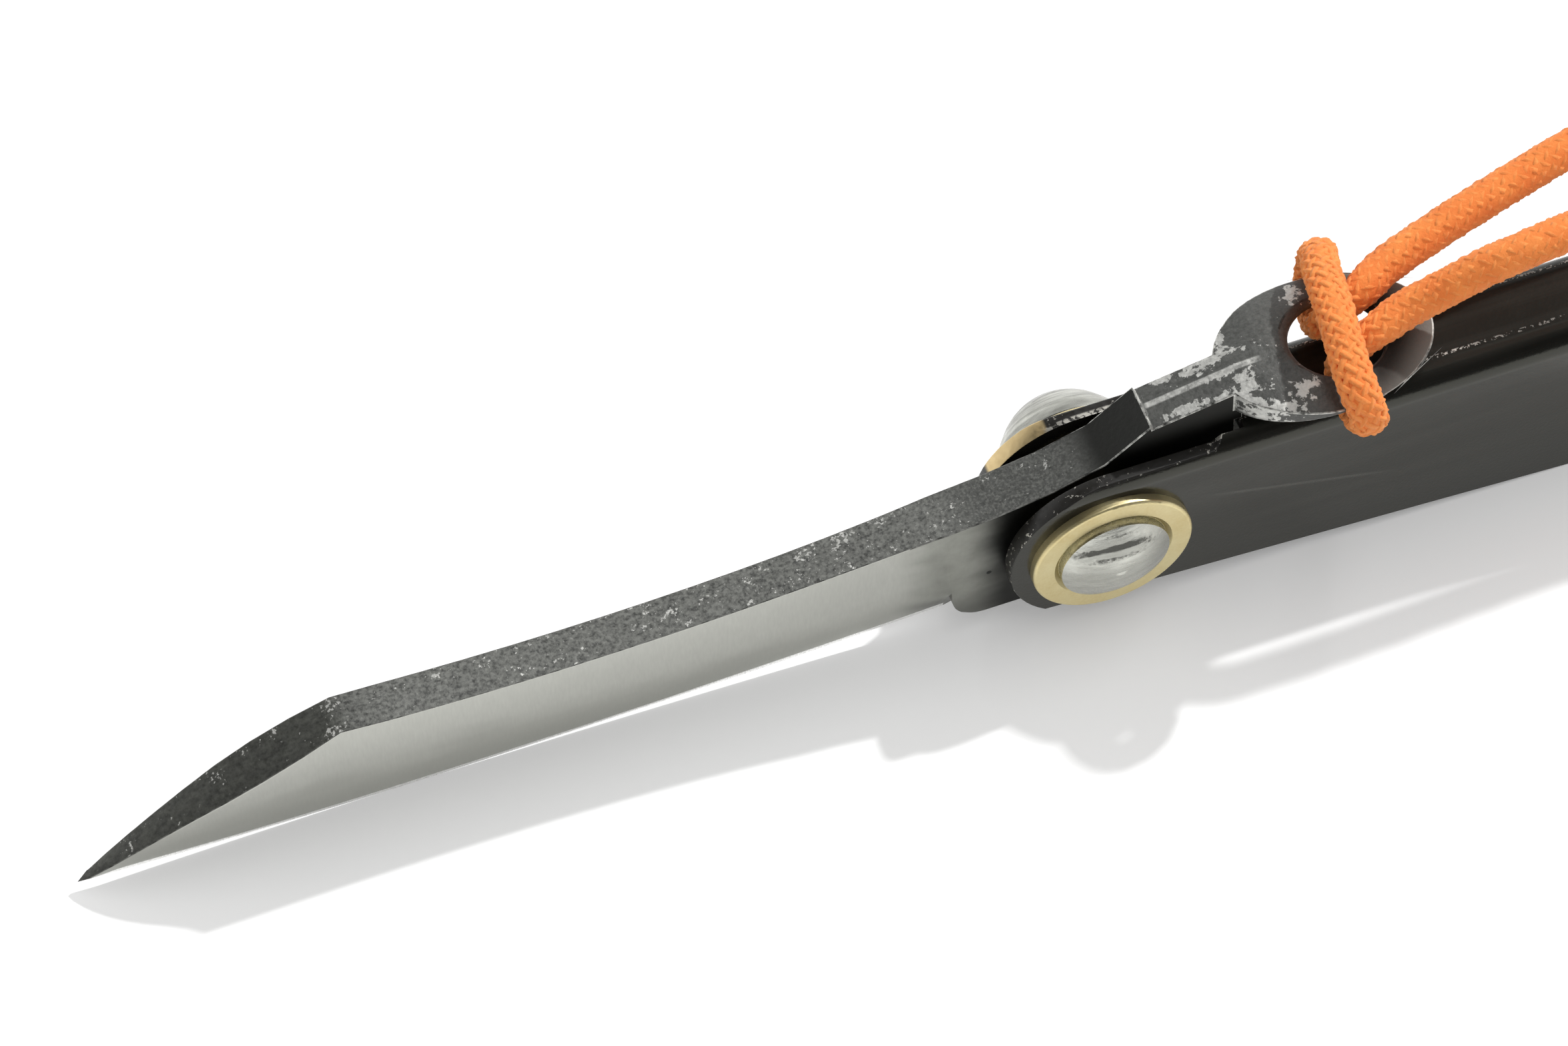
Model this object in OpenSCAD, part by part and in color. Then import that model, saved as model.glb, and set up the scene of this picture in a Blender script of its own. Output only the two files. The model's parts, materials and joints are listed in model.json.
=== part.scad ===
// Friction folding pocket knife with a folded sheet handle, a forged blade with
// a thumb lever, and a cord lanyard hitched through the eyelet of the lever.
// The knife is open and stands on its lips: blade towards -X, butt towards +X,
// spine up, both rivet heads along Y, standing surface at z = 0.

/* [Blade] */
// Distance along the knife from the pivot to the point of the blade
blade_reach = 62.5; // [58:0.5:66]
// Length of the dropped stretch of spine at the point
point_l = 16.5; // [12:0.5:22]
// Thickness of the blade at the pivot
blade_t = 3.05; // [2.4:0.05:3.4]
// Thickness of the spine where it drops to the point
point_t = 2.4; // [1.6:0.05:3]
// Thickness of the spine along the middle of the blade
spine_t = 2.68; // [2.2:0.02:3]
// Height of the blade at its heel
heel_h = 9.9; // [9:0.1:10.6]
// Height of the blade where the spine drops
break_h = 9.65; // [8:0.1:10]
// Hollow of the spine between its two ends
spine_sag = 1.1; // [0:0.1:1.4]
// Height of the point above the standing surface
point_lift = 0.7; // [0:0.1:1.5]
// Height of the heel of the edge above the standing surface
heel_lift = 1.15; // [0.6:0.05:1.6]
// Height of the fine bevel along the cutting edge
edge_bevel_h = 0.5; // [0.2:0.05:1]
// Thickness of the blade at the top of the fine bevel
edge_bevel_t = 0.3; // [0.1:0.02:0.5]

/* [Handle] */
// Thickness of the sheet that the handle is folded from
sheet_t = 1.05; // [0.7:0.05:1.3]
// Inner width of the channel between the two walls
channel_w = 4.1; // [4.1:0.05:5]
// Height of the handle from its lips to its back
handle_h = 13.7; // [13.2:0.1:15]
// Distance from the pivot to the butt
butt_reach = 72; // [68:1:90]
// Outer radius of the two folds along the back
fold_r = 1.5; // [1.35:0.05:1.8]
// Radius of the rounded front end about the pivot
nose_r = 6.15; // [5.8:0.05:6.4]
// Height of the lips above the standing surface below the pivot
lip_rise = 2.05; // [1:0.05:2.4]
// Distance from the pivot to where the lips reach the standing surface
lip_run = 30; // [20:1:40]
// Distance from the pivot to the end of the slot in the back
slot_reach = 8.5; // [8.5:0.1:10]
// Radius of the corners at the butt
butt_r = 2; // [1:0.25:3]

/* [Pivot] */
// Height of the pivot above the standing surface
pivot_h = 7; // [6.8:0.05:7.2]
// Diameter of the rivet's shank
shank_d = 4; // [3:0.1:4.6]
// Running clearance on the radius between the shank and the blade
shank_play = 0.05; // [0.02:0.01:0.1]
// Diameter of the outer washers
washer_d = 9.9; // [9:0.1:10.4]
// Thickness of the outer washers
washer_t = 0.6; // [0.4:0.05:1]
// Diameter of the thin washers beside the blade
spacer_d = 8.6; // [7:0.1:9.6]
// Clearance on each side of a thin washer
spacer_play = 0.04; // [0.02:0.01:0.1]
// Diameter of the peened head on the near side
peened_d = 6.7; // [5.6:0.1:8]
// Height of the peened head
peened_h = 1.3; // [0.9:0.1:2]
// Diameter of the round head on the far side
round_d = 8.7; // [7:0.1:9.4]
// Height of the round head
round_h = 3.9; // [3:0.1:4.4]
// Diameter of the cap that stands on the round head's shoulder
cap_d = 6.9; // [5:0.1:6.9]
// Height of the shoulder below the cap
cap_base = 2.05; // [1.2:0.05:2.4]
// Height of the straight side of each head above its washer
head_rim = 0.35; // [0.2:0.05:0.6]
// Depth of the seat for the peened head in the near washer
seat_depth = 0.25; // [0.05:0.05:0.3]
// Rounding of the outer washers' rims
washer_edge_r = 0.2; // [0.05:0.05:0.25]

/* [Lever] */
// Clear space between the handle's back and the root of the eyelet plate
eye_gap = 1; // [0.9:0.05:2]
// Thickness of the eyelet plate at the neck
eye_t = 2.3; // [2:0.05:2.6]
// Thickness of the eyelet plate at its far end
eye_end_t = 1.1; // [0.9:0.05:1.4]
// Length of the oval eyelet plate
eye_l = 13.2; // [12.6:0.1:14.4]
// Width of the eyelet plate
eye_w = 9.5; // [9:0.1:10.2]
// How far the plate's middle lies towards the far side
eye_shift = 0.2; // [0:0.05:0.3]
// Crown of the plate's top across its width
eye_crown = 0.95; // [0.4:0.05:1.1]
// Crown of the plate's underside across its width
eye_belly = 0.5; // [0.2:0.05:0.6]
// Diameter of the eyelet's hole
eye_hole_d = 5.6; // [5.4:0.1:6]
// Width of the solid rim between the hole and the far end of the plate
eye_rim = 3; // [2.7:0.05:3.3]
// Rounding of the hole's upper edge
eye_edge_r = 1.1; // [0.6:0.05:1.2]
// Width of the bevel on the hole's lower edge
eye_bevel = 0.35; // [0.1:0.05:0.45]
// Drop of the neck's two top facets from their middle ridge
ridge_drop = 0.3; // [0.1:0.05:0.5]

/* [Lanyard] */
// Diameter of the braided cord
cord_d = 2.2; // [1.8:0.1:2.2]
// Share of its diameter that the cord keeps where the hitch pinches it
cord_pinch = 0.8; // [0.75:0.01:0.85]
// Share of its diameter that it spreads to there, along the plate
cord_spread = 1.12; // [1:0.01:1.15]
// Length of the wound body of the end knot
knot_l = 6.6; // [5:0.2:9]
// Length of the two cut tails past the knot
tail_l = 4; // [2:0.5:6]

/* [Hidden] */
$fn = 64;

// Handle
handle_w = channel_w + 2 * sheet_t;
wall_y = handle_w / 2;
channel_y = channel_w / 2;
cut = 1;

// Pivot
near_face = wall_y + washer_t;
near_reach = near_face + peened_h;
far_reach = near_face + round_h;
spacer_t = (channel_w - blade_t) / 2 - 2 * spacer_play;

// The origin is the middle of the knife's own box, on the standing surface
origin_x = (butt_reach - blade_reach) / 2;
origin_y = (far_reach - near_reach) / 2;

// Blade
tip_x = -blade_reach;
break_x = tip_x + point_l;
heel_x = -9;
plunge_l = 4.2;
crown_l = 3;
root_x = heel_x - 0.5;
belly_x = tip_x + 0.36 * (heel_x - tip_x);
break_z = break_h + 0.2;
root_z = heel_lift + heel_h;
facet_tilt = 0.9;
mid_share = 0.35;
mid_swell = 0.06;
flush = 0.02;

// Tang and lever, in heights above the standing surface
tang_r = 5.3;
lobe_r = 2;
lobe_x = heel_x + 1.8;
lobe_z = heel_lift + 0.5 + lobe_r;
heel_run = 1.3;
rest_gap = 0.05;
neck_back = slot_reach - 0.3;
eye_x = slot_reach - 0.85;
eye_end = eye_x + eye_l;
eye_mid = eye_x + eye_l / 2;
eye_under = handle_h + eye_gap;
eye_top = eye_under + eye_t;
hole_x = eye_end - eye_rim - eye_hole_d / 2;
foot_z = pivot_h + nose_r + 0.05;
neck_front = 3;
neck_top = eye_top - 1.35;
neck_end = eye_x + 1;
ridge_end = eye_x + 1.7;
crown_x = eye_mid - 1.75;
crown_r = 44;
oval_sides = 72;

// Places a module drawn about the pivot, with x from the pivot and y from
// the handle's middle plane
module placed() {
    translate([-origin_x, -origin_y, 0]) children();
}

// Draws a side view, x along the knife and y up, as a slab t thick across it
module slab(t) {
    rotate([90, 0, 0]) linear_extrude(t, center = true) children();
}

// Turns a shape drawn along +Z to stand on the near or the far side
module at_pivot(far, y) {
    translate([0, far ? y : -y, pivot_h]) rotate([far ? -90 : 90, 0, 0]) children();
}

// Cross-section of a folded sheet: w wide, h high, with its two top corners rounded
module folded_section(w, h, r) {
    translate([-w / 2, -cut]) square([w, h - r + cut]);
    translate([-w / 2 + r, -cut]) square([w - 2 * r, h + cut]);
    for (side = [-1, 1]) translate([side * (w / 2 - r), h - r]) circle(r);
}

// Corner piece that rounds a square corner at the origin, with the body below left
module corner_cut(r) {
    difference() {
        translate([-r, -r]) square(r + cut);
        translate([-r, -r]) circle(r);
    }
}

// Side view of the handle: rounded nose, lips that rise to it, rounded butt
module handle_side() {
    nose_top = pivot_h + nose_r;
    difference() {
        polygon([[-nose_r - cut, lip_rise * (1 + (nose_r + cut) / lip_run)], [lip_run, 0],
                 [butt_reach, 0], [butt_reach, handle_h + cut], [slot_reach, handle_h + cut],
                 [slot_reach - 2, nose_top], [-nose_r - cut, nose_top]]);
        translate([0, pivot_h]) difference() {
            translate([-nose_r - 2 * cut, -nose_r - cut])
                square([nose_r + 2 * cut, 2 * nose_r + 2 * cut]);
            circle(nose_r, $fn = 96);
        }
        translate([butt_reach, handle_h]) corner_cut(butt_r);
        translate([butt_reach, 0]) mirror([0, 1]) corner_cut(butt_r);
    }
}

// Folded sheet handle: two walls and a back, open below, at the butt and in front
module handle_shell() {
    color([0.17, 0.17, 0.16]) placed() difference() {
        intersection() {
            translate([-nose_r - cut, 0, 0]) rotate([90, 0, 90])
                linear_extrude(butt_reach + nose_r + 2 * cut) difference() {
                    folded_section(handle_w, handle_h, fold_r);
                    translate([0, -cut]) folded_section(channel_w, handle_h - sheet_t + cut,
                                                        fold_r - sheet_t);
                }
            slab(handle_w + 2 * cut) handle_side();
        }
        translate([-nose_r - cut, -channel_y, pivot_h])
            cube([slot_reach + nose_r + cut, channel_w, handle_h]);
        translate([0, 0, pivot_h]) rotate([90, 0, 0])
            cylinder(d = shank_d + 2 * flush, h = handle_w + 2 * cut, center = true);
    }
}

function smooth(u) = let (s = min(1, max(0, u))) s * s * (3 - 2 * s);

// Height of the cutting edge along the blade: a shallow belly
function edge_z(x) = x < belly_x
    ? point_lift * pow((x - belly_x) / (tip_x - belly_x), 2)
    : heel_lift * pow((x - belly_x) / (heel_x - belly_x), 2);

// Height of the middle of the spine, which drops straight to the point
function spine_z(x) = let (u = (x - break_x) / (heel_x - break_x), v = (x - tip_x) / point_l)
    x < break_x ? point_lift + (break_z - point_lift) * v + 0.5 * sin(180 * v)
                : break_z + (root_z - break_z) * u - 4 * spine_sag * u * (1 - u);

// Half the thickness of the spine, which thins towards the point
function spine_y(x) = let (even = point_t + (spine_t - point_t) * smooth((x - break_x + 5) / 8))
    x < break_x
    ? even / 2 * sqrt(min(1, 1.6 * (x - tip_x) / point_l))
    : (even + (blade_t - spine_t) * pow((x - break_x) / (root_x - break_x), 6)) / 2 - flush;

// How much higher the far corner of the dropped facet lies than the near one
function spine_tilt(x) = x < break_x
    ? facet_tilt * sin(180 * pow((x - tip_x) / point_l, 2)) : 0;

// Cross-section of the blade at x: spine, ground faces and the fine edge bevel
function blade_section(x) = let (
    top = spine_z(x), low = edge_z(x), ys = spine_y(x), tilt = spine_tilt(x) / 2,
    bevel = min(edge_bevel_h, 0.3 * (top - low)),
    ye = min(edge_bevel_t / 2, 0.3 * ys),
    mz = low + mid_share * (top - low),
    wedge = ye + (ys - ye) * (mz - low - bevel) / (top - low - bevel) + mid_swell * ys,
    ym = wedge + (ys - wedge) * smooth((x - heel_x + plunge_l) / (plunge_l - 0.3)))
    [[-ys, top - tilt], [-ym, mz], [-ye, low + bevel], [0, low],
     [ye, low + bevel], [ym, mz], [ys, top + tilt],
     [0, top + ys * (0.12 - 0.1 * smooth((x - heel_x + crown_l) / crown_l))]];

// Ground blade: sections joined by triangles, with one point at the tip
module blade_loft() {
    xs = concat([for (i = [1 : 9]) tip_x + point_l * pow(i / 9, 1.4)],
                [for (i = [1 : 12]) break_x + (heel_x - plunge_l - break_x) * i / 12],
                [for (i = [1 : 8]) heel_x - plunge_l + (plunge_l - 0.3) * i / 8]);
    sections = [for (x = xs) [for (p = blade_section(x)) [x, p[0], p[1]]]];
    middle = (heel_lift + root_z) / 2;
    last = [for (p = blade_section(heel_x))
               [heel_x + heel_run, 0.9 * p[0], middle + 0.88 * (p[1] - middle)]];
    rings = concat(sections, [last]);
    n = 8;
    m = len(rings);
    points = concat([[tip_x, 0, point_lift]], [for (r = rings) each r]);
    faces = concat(
        [for (k = [0 : n - 1]) [0, 1 + k, 1 + (k + 1) % n]],
        [for (i = [0 : m - 2], k = [0 : n - 1], half = [0, 1])
            let (a = 1 + i * n + k, b = 1 + i * n + (k + 1) % n)
            half == 0 ? [a, a + n, b] : [b, a + n, b + n]],
        [for (k = [1 : n - 2]) let (a = 1 + (m - 1) * n) [a, a + k + 1, a + k]]);
    polyhedron(points, faces);
}

// Side view of the tang and of the neck that rises through the slot
module tang_side() {
    translate([0, pivot_h]) circle(tang_r);
    translate([lobe_x, lobe_z]) circle(lobe_r);
    polygon([[root_x, spine_z(root_x) - flush], [-6.4, root_z + 0.3], [-3, root_z + 1],
             [0.2, foot_z], [neck_front, neck_top], [neck_end, ridge_z(neck_end)],
             [neck_end, handle_h + rest_gap], [neck_back, handle_h + rest_gap],
             [neck_back, pivot_h + 4], [tang_r - 1, pivot_h - 2], [0, pivot_h - tang_r],
             [lobe_x, lobe_z - lobe_r], [lobe_x - lobe_r, lobe_z]]);
}

// Height of the ridge along the middle of the neck's top
function ridge_z(x) = neck_top + (eye_top - neck_top) * (x - neck_front) / (ridge_end - neck_front);

// Two cutters that leave the neck's ridge and run out on the crowned plate
module ridge_cutters() {
    rise = atan2(eye_top - neck_top, ridge_end - neck_front);
    tilt = atan2(ridge_drop, blade_t / 2);
    wide = eye_w / 2 + 1;
    for (side = [-1, 1])
        translate([neck_front, 0, neck_top]) rotate([0, -rise, 0]) rotate([-side * tilt, 0, 0])
            translate([0, side > 0 ? -0.5 : 0.5 - wide, -flush]) cube([eye_l, wide, 3]);
}

// Plan of the eyelet plate: an oval
module eye_plan() {
    translate([eye_mid, eye_shift])
        polygon([for (i = [0 : oval_sides - 1]) let (a = 360 * (i + 0.5) / oval_sides)
            [eye_l / 2 * cos(a), eye_w / 2 * sin(a)]]);
}

// Crowned body that gives the plate its top: bent across and a little along it
module crowned_top() {
    across_r = (eye_w * eye_w / 4 + eye_crown * eye_crown) / (2 * eye_crown);
    translate([crown_x, eye_shift, eye_top - crown_r]) rotate([90, 0, 0])
        rotate_extrude($fn = 180) translate([crown_r - across_r, 0]) circle(across_r, $fn = 96);
}

// Round bar whose lowest line is the plate's underside, rising to the far end
module bellied_under() {
    across_r = (eye_w * eye_w / 4 + eye_belly * eye_belly) / (2 * eye_belly);
    rise = atan2(eye_t - eye_end_t, eye_l);
    translate([eye_x, eye_shift, eye_under]) rotate([0, -rise, 0])
        translate([-eye_w, 0, across_r]) rotate([0, 90, 0])
            cylinder(r = across_r, h = eye_l + 2 * eye_w, $fn = 180);
}

// Ring that rounds the upper edge of the eyelet's hole
module hole_rounding() {
    r = eye_hole_d / 2;
    rotate_extrude($fn = 96) difference() {
        translate([r - cut, -eye_edge_r]) square([cut + eye_edge_r, eye_edge_r + cut]);
        translate([r + eye_edge_r, -eye_edge_r]) circle(eye_edge_r);
    }
}

// Cone that breaks the lower edge of the hole, opening downwards
module hole_chamfer() {
    r = eye_hole_d / 2;
    translate([0, 0, -cut])
        cylinder(r1 = r + eye_bevel + cut, r2 = r - cut, h = eye_bevel + 2 * cut, $fn = 96);
}

// Forged blade, tang, neck and eyelet: one piece of steel
module blade() {
    under_z = eye_under + (eye_t - eye_end_t) * (hole_x - eye_x) / eye_l;
    edge_rise = 0.1;
    color([0.52, 0.53, 0.52]) placed() difference() {
        union() {
            blade_loft();
            difference() {
                union() {
                    slab(blade_t) tang_side();
                    intersection() {
                        translate([0, 0, handle_h]) linear_extrude(eye_top) eye_plan();
                        crowned_top();
                        bellied_under();
                    }
                }
                ridge_cutters();
            }
        }
        translate([0, 0, pivot_h]) rotate([90, 0, 0])
            cylinder(d = shank_d + 2 * shank_play, h = blade_t + 2 * cut, center = true);
        translate([hole_x, eye_shift, handle_h]) cylinder(d = eye_hole_d, h = eye_top, $fn = 96);
        translate([hole_x, eye_shift, eye_top + edge_rise]) hole_rounding();
        translate([hole_x, eye_shift, under_z]) hole_chamfer();
    }
}

// Circle on the axis whose cap has height cap_h and radius r, its top at height top
module cap_circle(r, cap_h, top) {
    ball = (r * r + cap_h * cap_h) / (2 * cap_h);
    translate([0, top - ball]) circle(ball, $fn = 96);
}

// Peened head: a low cap whose straight side stands in the seat of the washer
module peened_head() {
    top = seat_depth + peened_h;
    rotate_extrude($fn = 96) intersection() {
        cap_circle(peened_d / 2, peened_h - head_rim, top);
        square([peened_d / 2, top + cut]);
    }
}

// Round head: a barrel with a straight foot, and a smaller cap on its shoulder
module round_head() {
    r = round_d / 2;
    shoulder_r = cap_d / 2;
    middle = (r * r + head_rim * head_rim - shoulder_r * shoulder_r - cap_base * cap_base)
        / (2 * (head_rim - cap_base));
    rotate_extrude($fn = 96) intersection() {
        union() {
            translate([0, middle]) circle(norm([r, head_rim - middle]), $fn = 96);
            cap_circle(shoulder_r, round_h - cap_base, round_h);
        }
        square([r, round_h + cut]);
    }
}

// Steel rivet: shank, round head on the far side, peened head on the near side
module pivot_rivet() {
    seat = near_face - seat_depth;
    sunk = head_rim / 2;
    color([0.78, 0.79, 0.79]) placed() {
        at_pivot(false, seat) translate([0, 0, sunk - seat - near_face - 2 * sunk])
            cylinder(d = shank_d, h = seat + near_face + 2 * sunk);
        at_pivot(false, seat) peened_head();
        at_pivot(true, near_face) round_head();
    }
}

// Flat ring that stands outwards from a distance y
module ring_at(far, y, d, t) {
    at_pivot(far, y) difference() {
        cylinder(d = d, h = t);
        translate([0, 0, -cut]) cylinder(d = shank_d + 2 * flush, h = t + 2 * cut);
    }
}

// Outer washer with a rounded rim and, where seat is not 0, a seat that deep
// whose wall leans out round the peened head
module outer_washer(far, seat) {
    hole_r = shank_d / 2 + flush;
    seat_r = peened_d / 2 + flush;
    at_pivot(far, wall_y) rotate_extrude($fn = 96) difference() {
        translate([hole_r, 0]) square([washer_d / 2 - hole_r, washer_t]);
        translate([washer_d / 2, washer_t]) corner_cut(washer_edge_r);
        if (seat > 0)
            polygon([[0, washer_t - seat], [seat_r, washer_t - seat],
                     [seat_r + 0.3, washer_t], [seat_r + 0.3, washer_t + cut],
                     [0, washer_t + cut]]);
    }
}

module near_washer() {
    color([0.82, 0.7, 0.4]) placed() outer_washer(false, seat_depth);
}

module far_washer() {
    color([0.82, 0.7, 0.4]) placed() outer_washer(true, 0);
}

module near_spacer() {
    color([0.78, 0.66, 0.36]) placed()
        ring_at(false, blade_t / 2 + spacer_play, spacer_d, spacer_t);
}

module far_spacer() {
    color([0.78, 0.66, 0.36]) placed()
        ring_at(true, blade_t / 2 + spacer_play, spacer_d, spacer_t);
}

// Route of the cord's middle line, in x from the pivot, y from the handle's
// middle plane and height: near strand from the knot, hitch, far strand to it
near_route = [[76, 7.4, 4.4], [73.5, 7.4, 4.4], [70.5, 7.4, 5.1], [67.3, 7, 6.9], [64, 6, 9.7],
              [60.7, 4.3, 13], [57.3, 2.2, 16.2], [53.5, 0.4, 18.8], [49.5, -0.5, 20.5],
              [45.5, -0.8, 21.4], [41, -0.95, 21.9], [36.5, -1.2, 22.2], [32, -1.4, 22.3],
              [28.35, -1.25, 22], [26, -1.1, 21.35], [23.6, -0.9, 20.45], [21.75, -0.75, 19.5],
              [20.1, -0.65, 18.75]];
hitch_route = [[18.5, -0.7, 18.15], [16.8, -1.15, 17.75], [15.4, -1.3, 16.9], [14.95, -1.35, 16.05],
               [14.8, -1.65, 15.2], [14.8, -2.65, 14.6], [14.8, -3.75, 14.65], [14.85, -4.9, 15],
               [14.8, -5.45, 15.85], [14.6, -5.4, 16.8], [14.4, -4.8, 17.75], [14.35, -3.6, 18.4],
               [14.5, -2, 18.85], [14.75, 0, 19.15], [15, 1.9, 19.05], [15.35, 3.6, 18.6],
               [15.85, 5, 17.75], [16, 5.7, 16.75], [15.95, 5.75, 15.8], [15.65, 5.15, 14.95],
               [15.35, 4, 14.6], [15.1, 2.9, 14.65], [15, 2, 15.2], [15.05, 1.65, 16.05],
               [15.6, 1.6, 16.75], [17.2, 1.9, 17.6], [18.7, 2.65, 17.9]];
far_route = [[20.05, 3.05, 18.2], [21.7, 3.45, 18.5], [23.35, 3.8, 18.85], [26.75, 4.45, 19.5],
             [29.15, 4.9, 19.9], [31.35, 5.25, 20.3], [35, 5.6, 20.7], [40, 5.9, 20.8],
             [45, 6.2, 20.2], [49.5, 6.6, 18.9], [54, 7.2, 16.7], [58, 7.9, 14], [62, 8.7, 10.7],
             [65.5, 9.3, 7.9], [69, 9.6, 5.8], [72.5, 9.7, 4.6], [76, 9.7, 4.4]];
route = concat(near_route, hitch_route, far_route);
hitch_start = len(near_route);
hitch_end = hitch_start + len(hitch_route) - 1;
knot_x = 76;
knot_y = 8.55;
knot_z = 4.4;
cord_sides = 8;

function unit(v) = v / norm(v);

// Point of a smooth curve through the route between points i and i + 1
function route_at(i, t) = let (
    last = len(route) - 1, a = route[max(i - 1, 0)], b = route[i],
    c = route[min(i + 1, last)], d = route[min(i + 2, last)])
    0.5 * (2 * b + (c - a) * t + (2 * a - 5 * b + 4 * c - d) * t * t
           + (3 * b - a - 3 * c + d) * t * t * t);

// Middle line with a second point in each span of the hitch, and the index of
// the hitch's two ends along it
line = [for (i = [0 : len(route) - 1])
            each (i >= hitch_start && i < hitch_end ? [route[i], route_at(i, 0.5)] : [route[i]])];
line_start = hitch_start;
line_end = hitch_start + 2 * (hitch_end - hitch_start);

// Direction of the line at point i, square to the knot at both ends
function heading(i) = i == 0 ? [-1, 0, 0]
    : i == len(line) - 1 ? [1, 0, 0] : unit(line[i + 1] - line[i - 1]);

// Side vectors carried along the line without twist
sides = [for (i = 0, s = [0, 1, 0]; i < len(line); i = i + 1,
              s = i < len(line) ? unit(s - (s * heading(i)) * heading(i)) : s) s];

// Ring round the line at point i, pinched and spread where the cord is hitched
function cord_ring(i) = let (
    h = heading(i), u = sides[i], v = cross(h, u),
    share = max(0, min(1, (i - line_start) / 6, (line_end - i) / 6)),
    pinch = 1 + (cord_pinch - 1) * share, spread = 1 + (cord_spread - 1) * share)
    [for (k = [0 : cord_sides - 1]) let (
        a = 360 * k / cord_sides, side = cord_d / 2 * (cos(a) * u + sin(a) * v))
        line[i] + [spread * side[0], pinch * side[1], pinch * side[2]]];

// Cord between two points of the line, as one closed tube of triangles
module cord_tube(from, to) {
    n = cord_sides;
    m = to - from + 1;
    points = [for (i = [from : to]) each cord_ring(i)];
    faces = concat(
        [for (k = [1 : n - 2]) [0, k, k + 1]],
        [for (i = [0 : m - 2], k = [0 : n - 1], half = [0, 1])
            let (a = i * n + k, b = i * n + (k + 1) % n)
            half == 0 ? [a, a + n, b] : [b, a + n, b + n]],
        [for (k = [1 : n - 2]) let (a = (m - 1) * n) [a, a + k + 1, a + k]]);
    polyhedron(points, faces);
}

module lanyard_hitch() {
    color([0.93, 0.45, 0.13]) placed() cord_tube(line_start, line_end);
}

module lanyard_near_strand() {
    color([0.93, 0.45, 0.13]) placed() cord_tube(0, line_start);
}

module lanyard_far_strand() {
    color([0.93, 0.45, 0.13]) placed() cord_tube(line_end, len(line) - 1);
}

// Wound end knot: three turns side by side, with the two cut tails past it
module lanyard_knot() {
    turn_r = knot_l / 6;
    color([0.93, 0.45, 0.13]) placed() translate([knot_x, knot_y, knot_z]) rotate([0, 90, 0]) {
        cylinder(r = 1.5 * cord_d, h = knot_l);
        for (i = [0 : 2]) translate([0, 0, turn_r * (2 * i + 1)])
            rotate_extrude() translate([1.4 * cord_d, 0]) circle(turn_r);
        for (side = [-1, 1]) translate([0, side * 0.55 * cord_d, knot_l - cut])
            cylinder(d = cord_d, h = tail_l + cut);
    }
}

handle_shell();
blade();
pivot_rivet();
near_washer();
far_washer();
near_spacer();
far_spacer();
lanyard_hitch();
lanyard_near_strand();
lanyard_far_strand();
lanyard_knot();
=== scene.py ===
import json
import math

import bmesh
import bpy
from mathutils import Matrix, Vector


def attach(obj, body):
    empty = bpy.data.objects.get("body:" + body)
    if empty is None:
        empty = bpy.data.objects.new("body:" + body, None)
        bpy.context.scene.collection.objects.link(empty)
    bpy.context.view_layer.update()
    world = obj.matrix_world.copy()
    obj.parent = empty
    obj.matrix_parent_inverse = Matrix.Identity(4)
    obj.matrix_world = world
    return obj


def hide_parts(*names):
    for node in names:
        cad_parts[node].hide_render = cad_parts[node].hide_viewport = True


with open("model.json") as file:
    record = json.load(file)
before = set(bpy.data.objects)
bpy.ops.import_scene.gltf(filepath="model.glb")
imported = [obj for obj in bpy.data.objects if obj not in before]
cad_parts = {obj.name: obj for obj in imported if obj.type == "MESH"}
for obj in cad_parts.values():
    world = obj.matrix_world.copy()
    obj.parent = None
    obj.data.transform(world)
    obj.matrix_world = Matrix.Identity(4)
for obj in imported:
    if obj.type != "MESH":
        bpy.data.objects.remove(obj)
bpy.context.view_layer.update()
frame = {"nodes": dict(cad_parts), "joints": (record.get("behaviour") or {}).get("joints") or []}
mm = 0.001

# the pivot in the part's frame, in mm
pivotX, pivotY, pivotZ = [value / mm for value in frame["joints"][0]["pos_m"]]


def fromPivot(point):
    # from mm along and across from the pivot, and up from the table
    return Vector((point[0] + pivotX, point[1] + pivotY, point[2])) * mm


def addObject(name, data):
    thing = bpy.data.objects.new(name, data)
    bpy.context.scene.collection.objects.link(thing)
    return thing


# Camera

cameraSet = {
    "place": (-66.7, -164.6, 279.1),  # mm along and across from the pivot, and up
    "ahead": (0.1524, 0.523, -0.8386),
    "down": (-0.294, -0.7861, -0.5437),
    "lens": 127.3,
    "sensor": 36.0,
    "nearest": 0.01,  # m
}


def makeCamera():
    data = bpy.data.cameras.new("photoCamera")
    data.lens = cameraSet["lens"]
    data.sensor_width = cameraSet["sensor"]
    data.sensor_fit = "HORIZONTAL"
    data.clip_start = cameraSet["nearest"]
    camera = addObject("photoCamera", data)
    back = -Vector(cameraSet["ahead"]).normalized()
    side = (-Vector(cameraSet["down"])).cross(back).normalized()
    turn = Matrix((side, back.cross(side), back)).transposed().to_4x4()
    camera.matrix_world = Matrix.Translation(fromPivot(cameraSet["place"])) @ turn
    bpy.context.scene.camera = camera


makeCamera()
print("camera set")


# Node helpers

def setInputs(tree, node, values):
    # a value that another node gives is linked, a plain one is set
    for name, value in values.items():
        if isinstance(value, bpy.types.NodeSocket):
            tree.links.new(value, node.inputs[name])
        else:
            node.inputs[name].default_value = value


def addNode(tree, kind, inputs=None, **settings):
    node = tree.nodes.new(kind)
    for name, value in settings.items():
        setattr(node, name, value)
    setInputs(tree, node, inputs or {})
    return node


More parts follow.
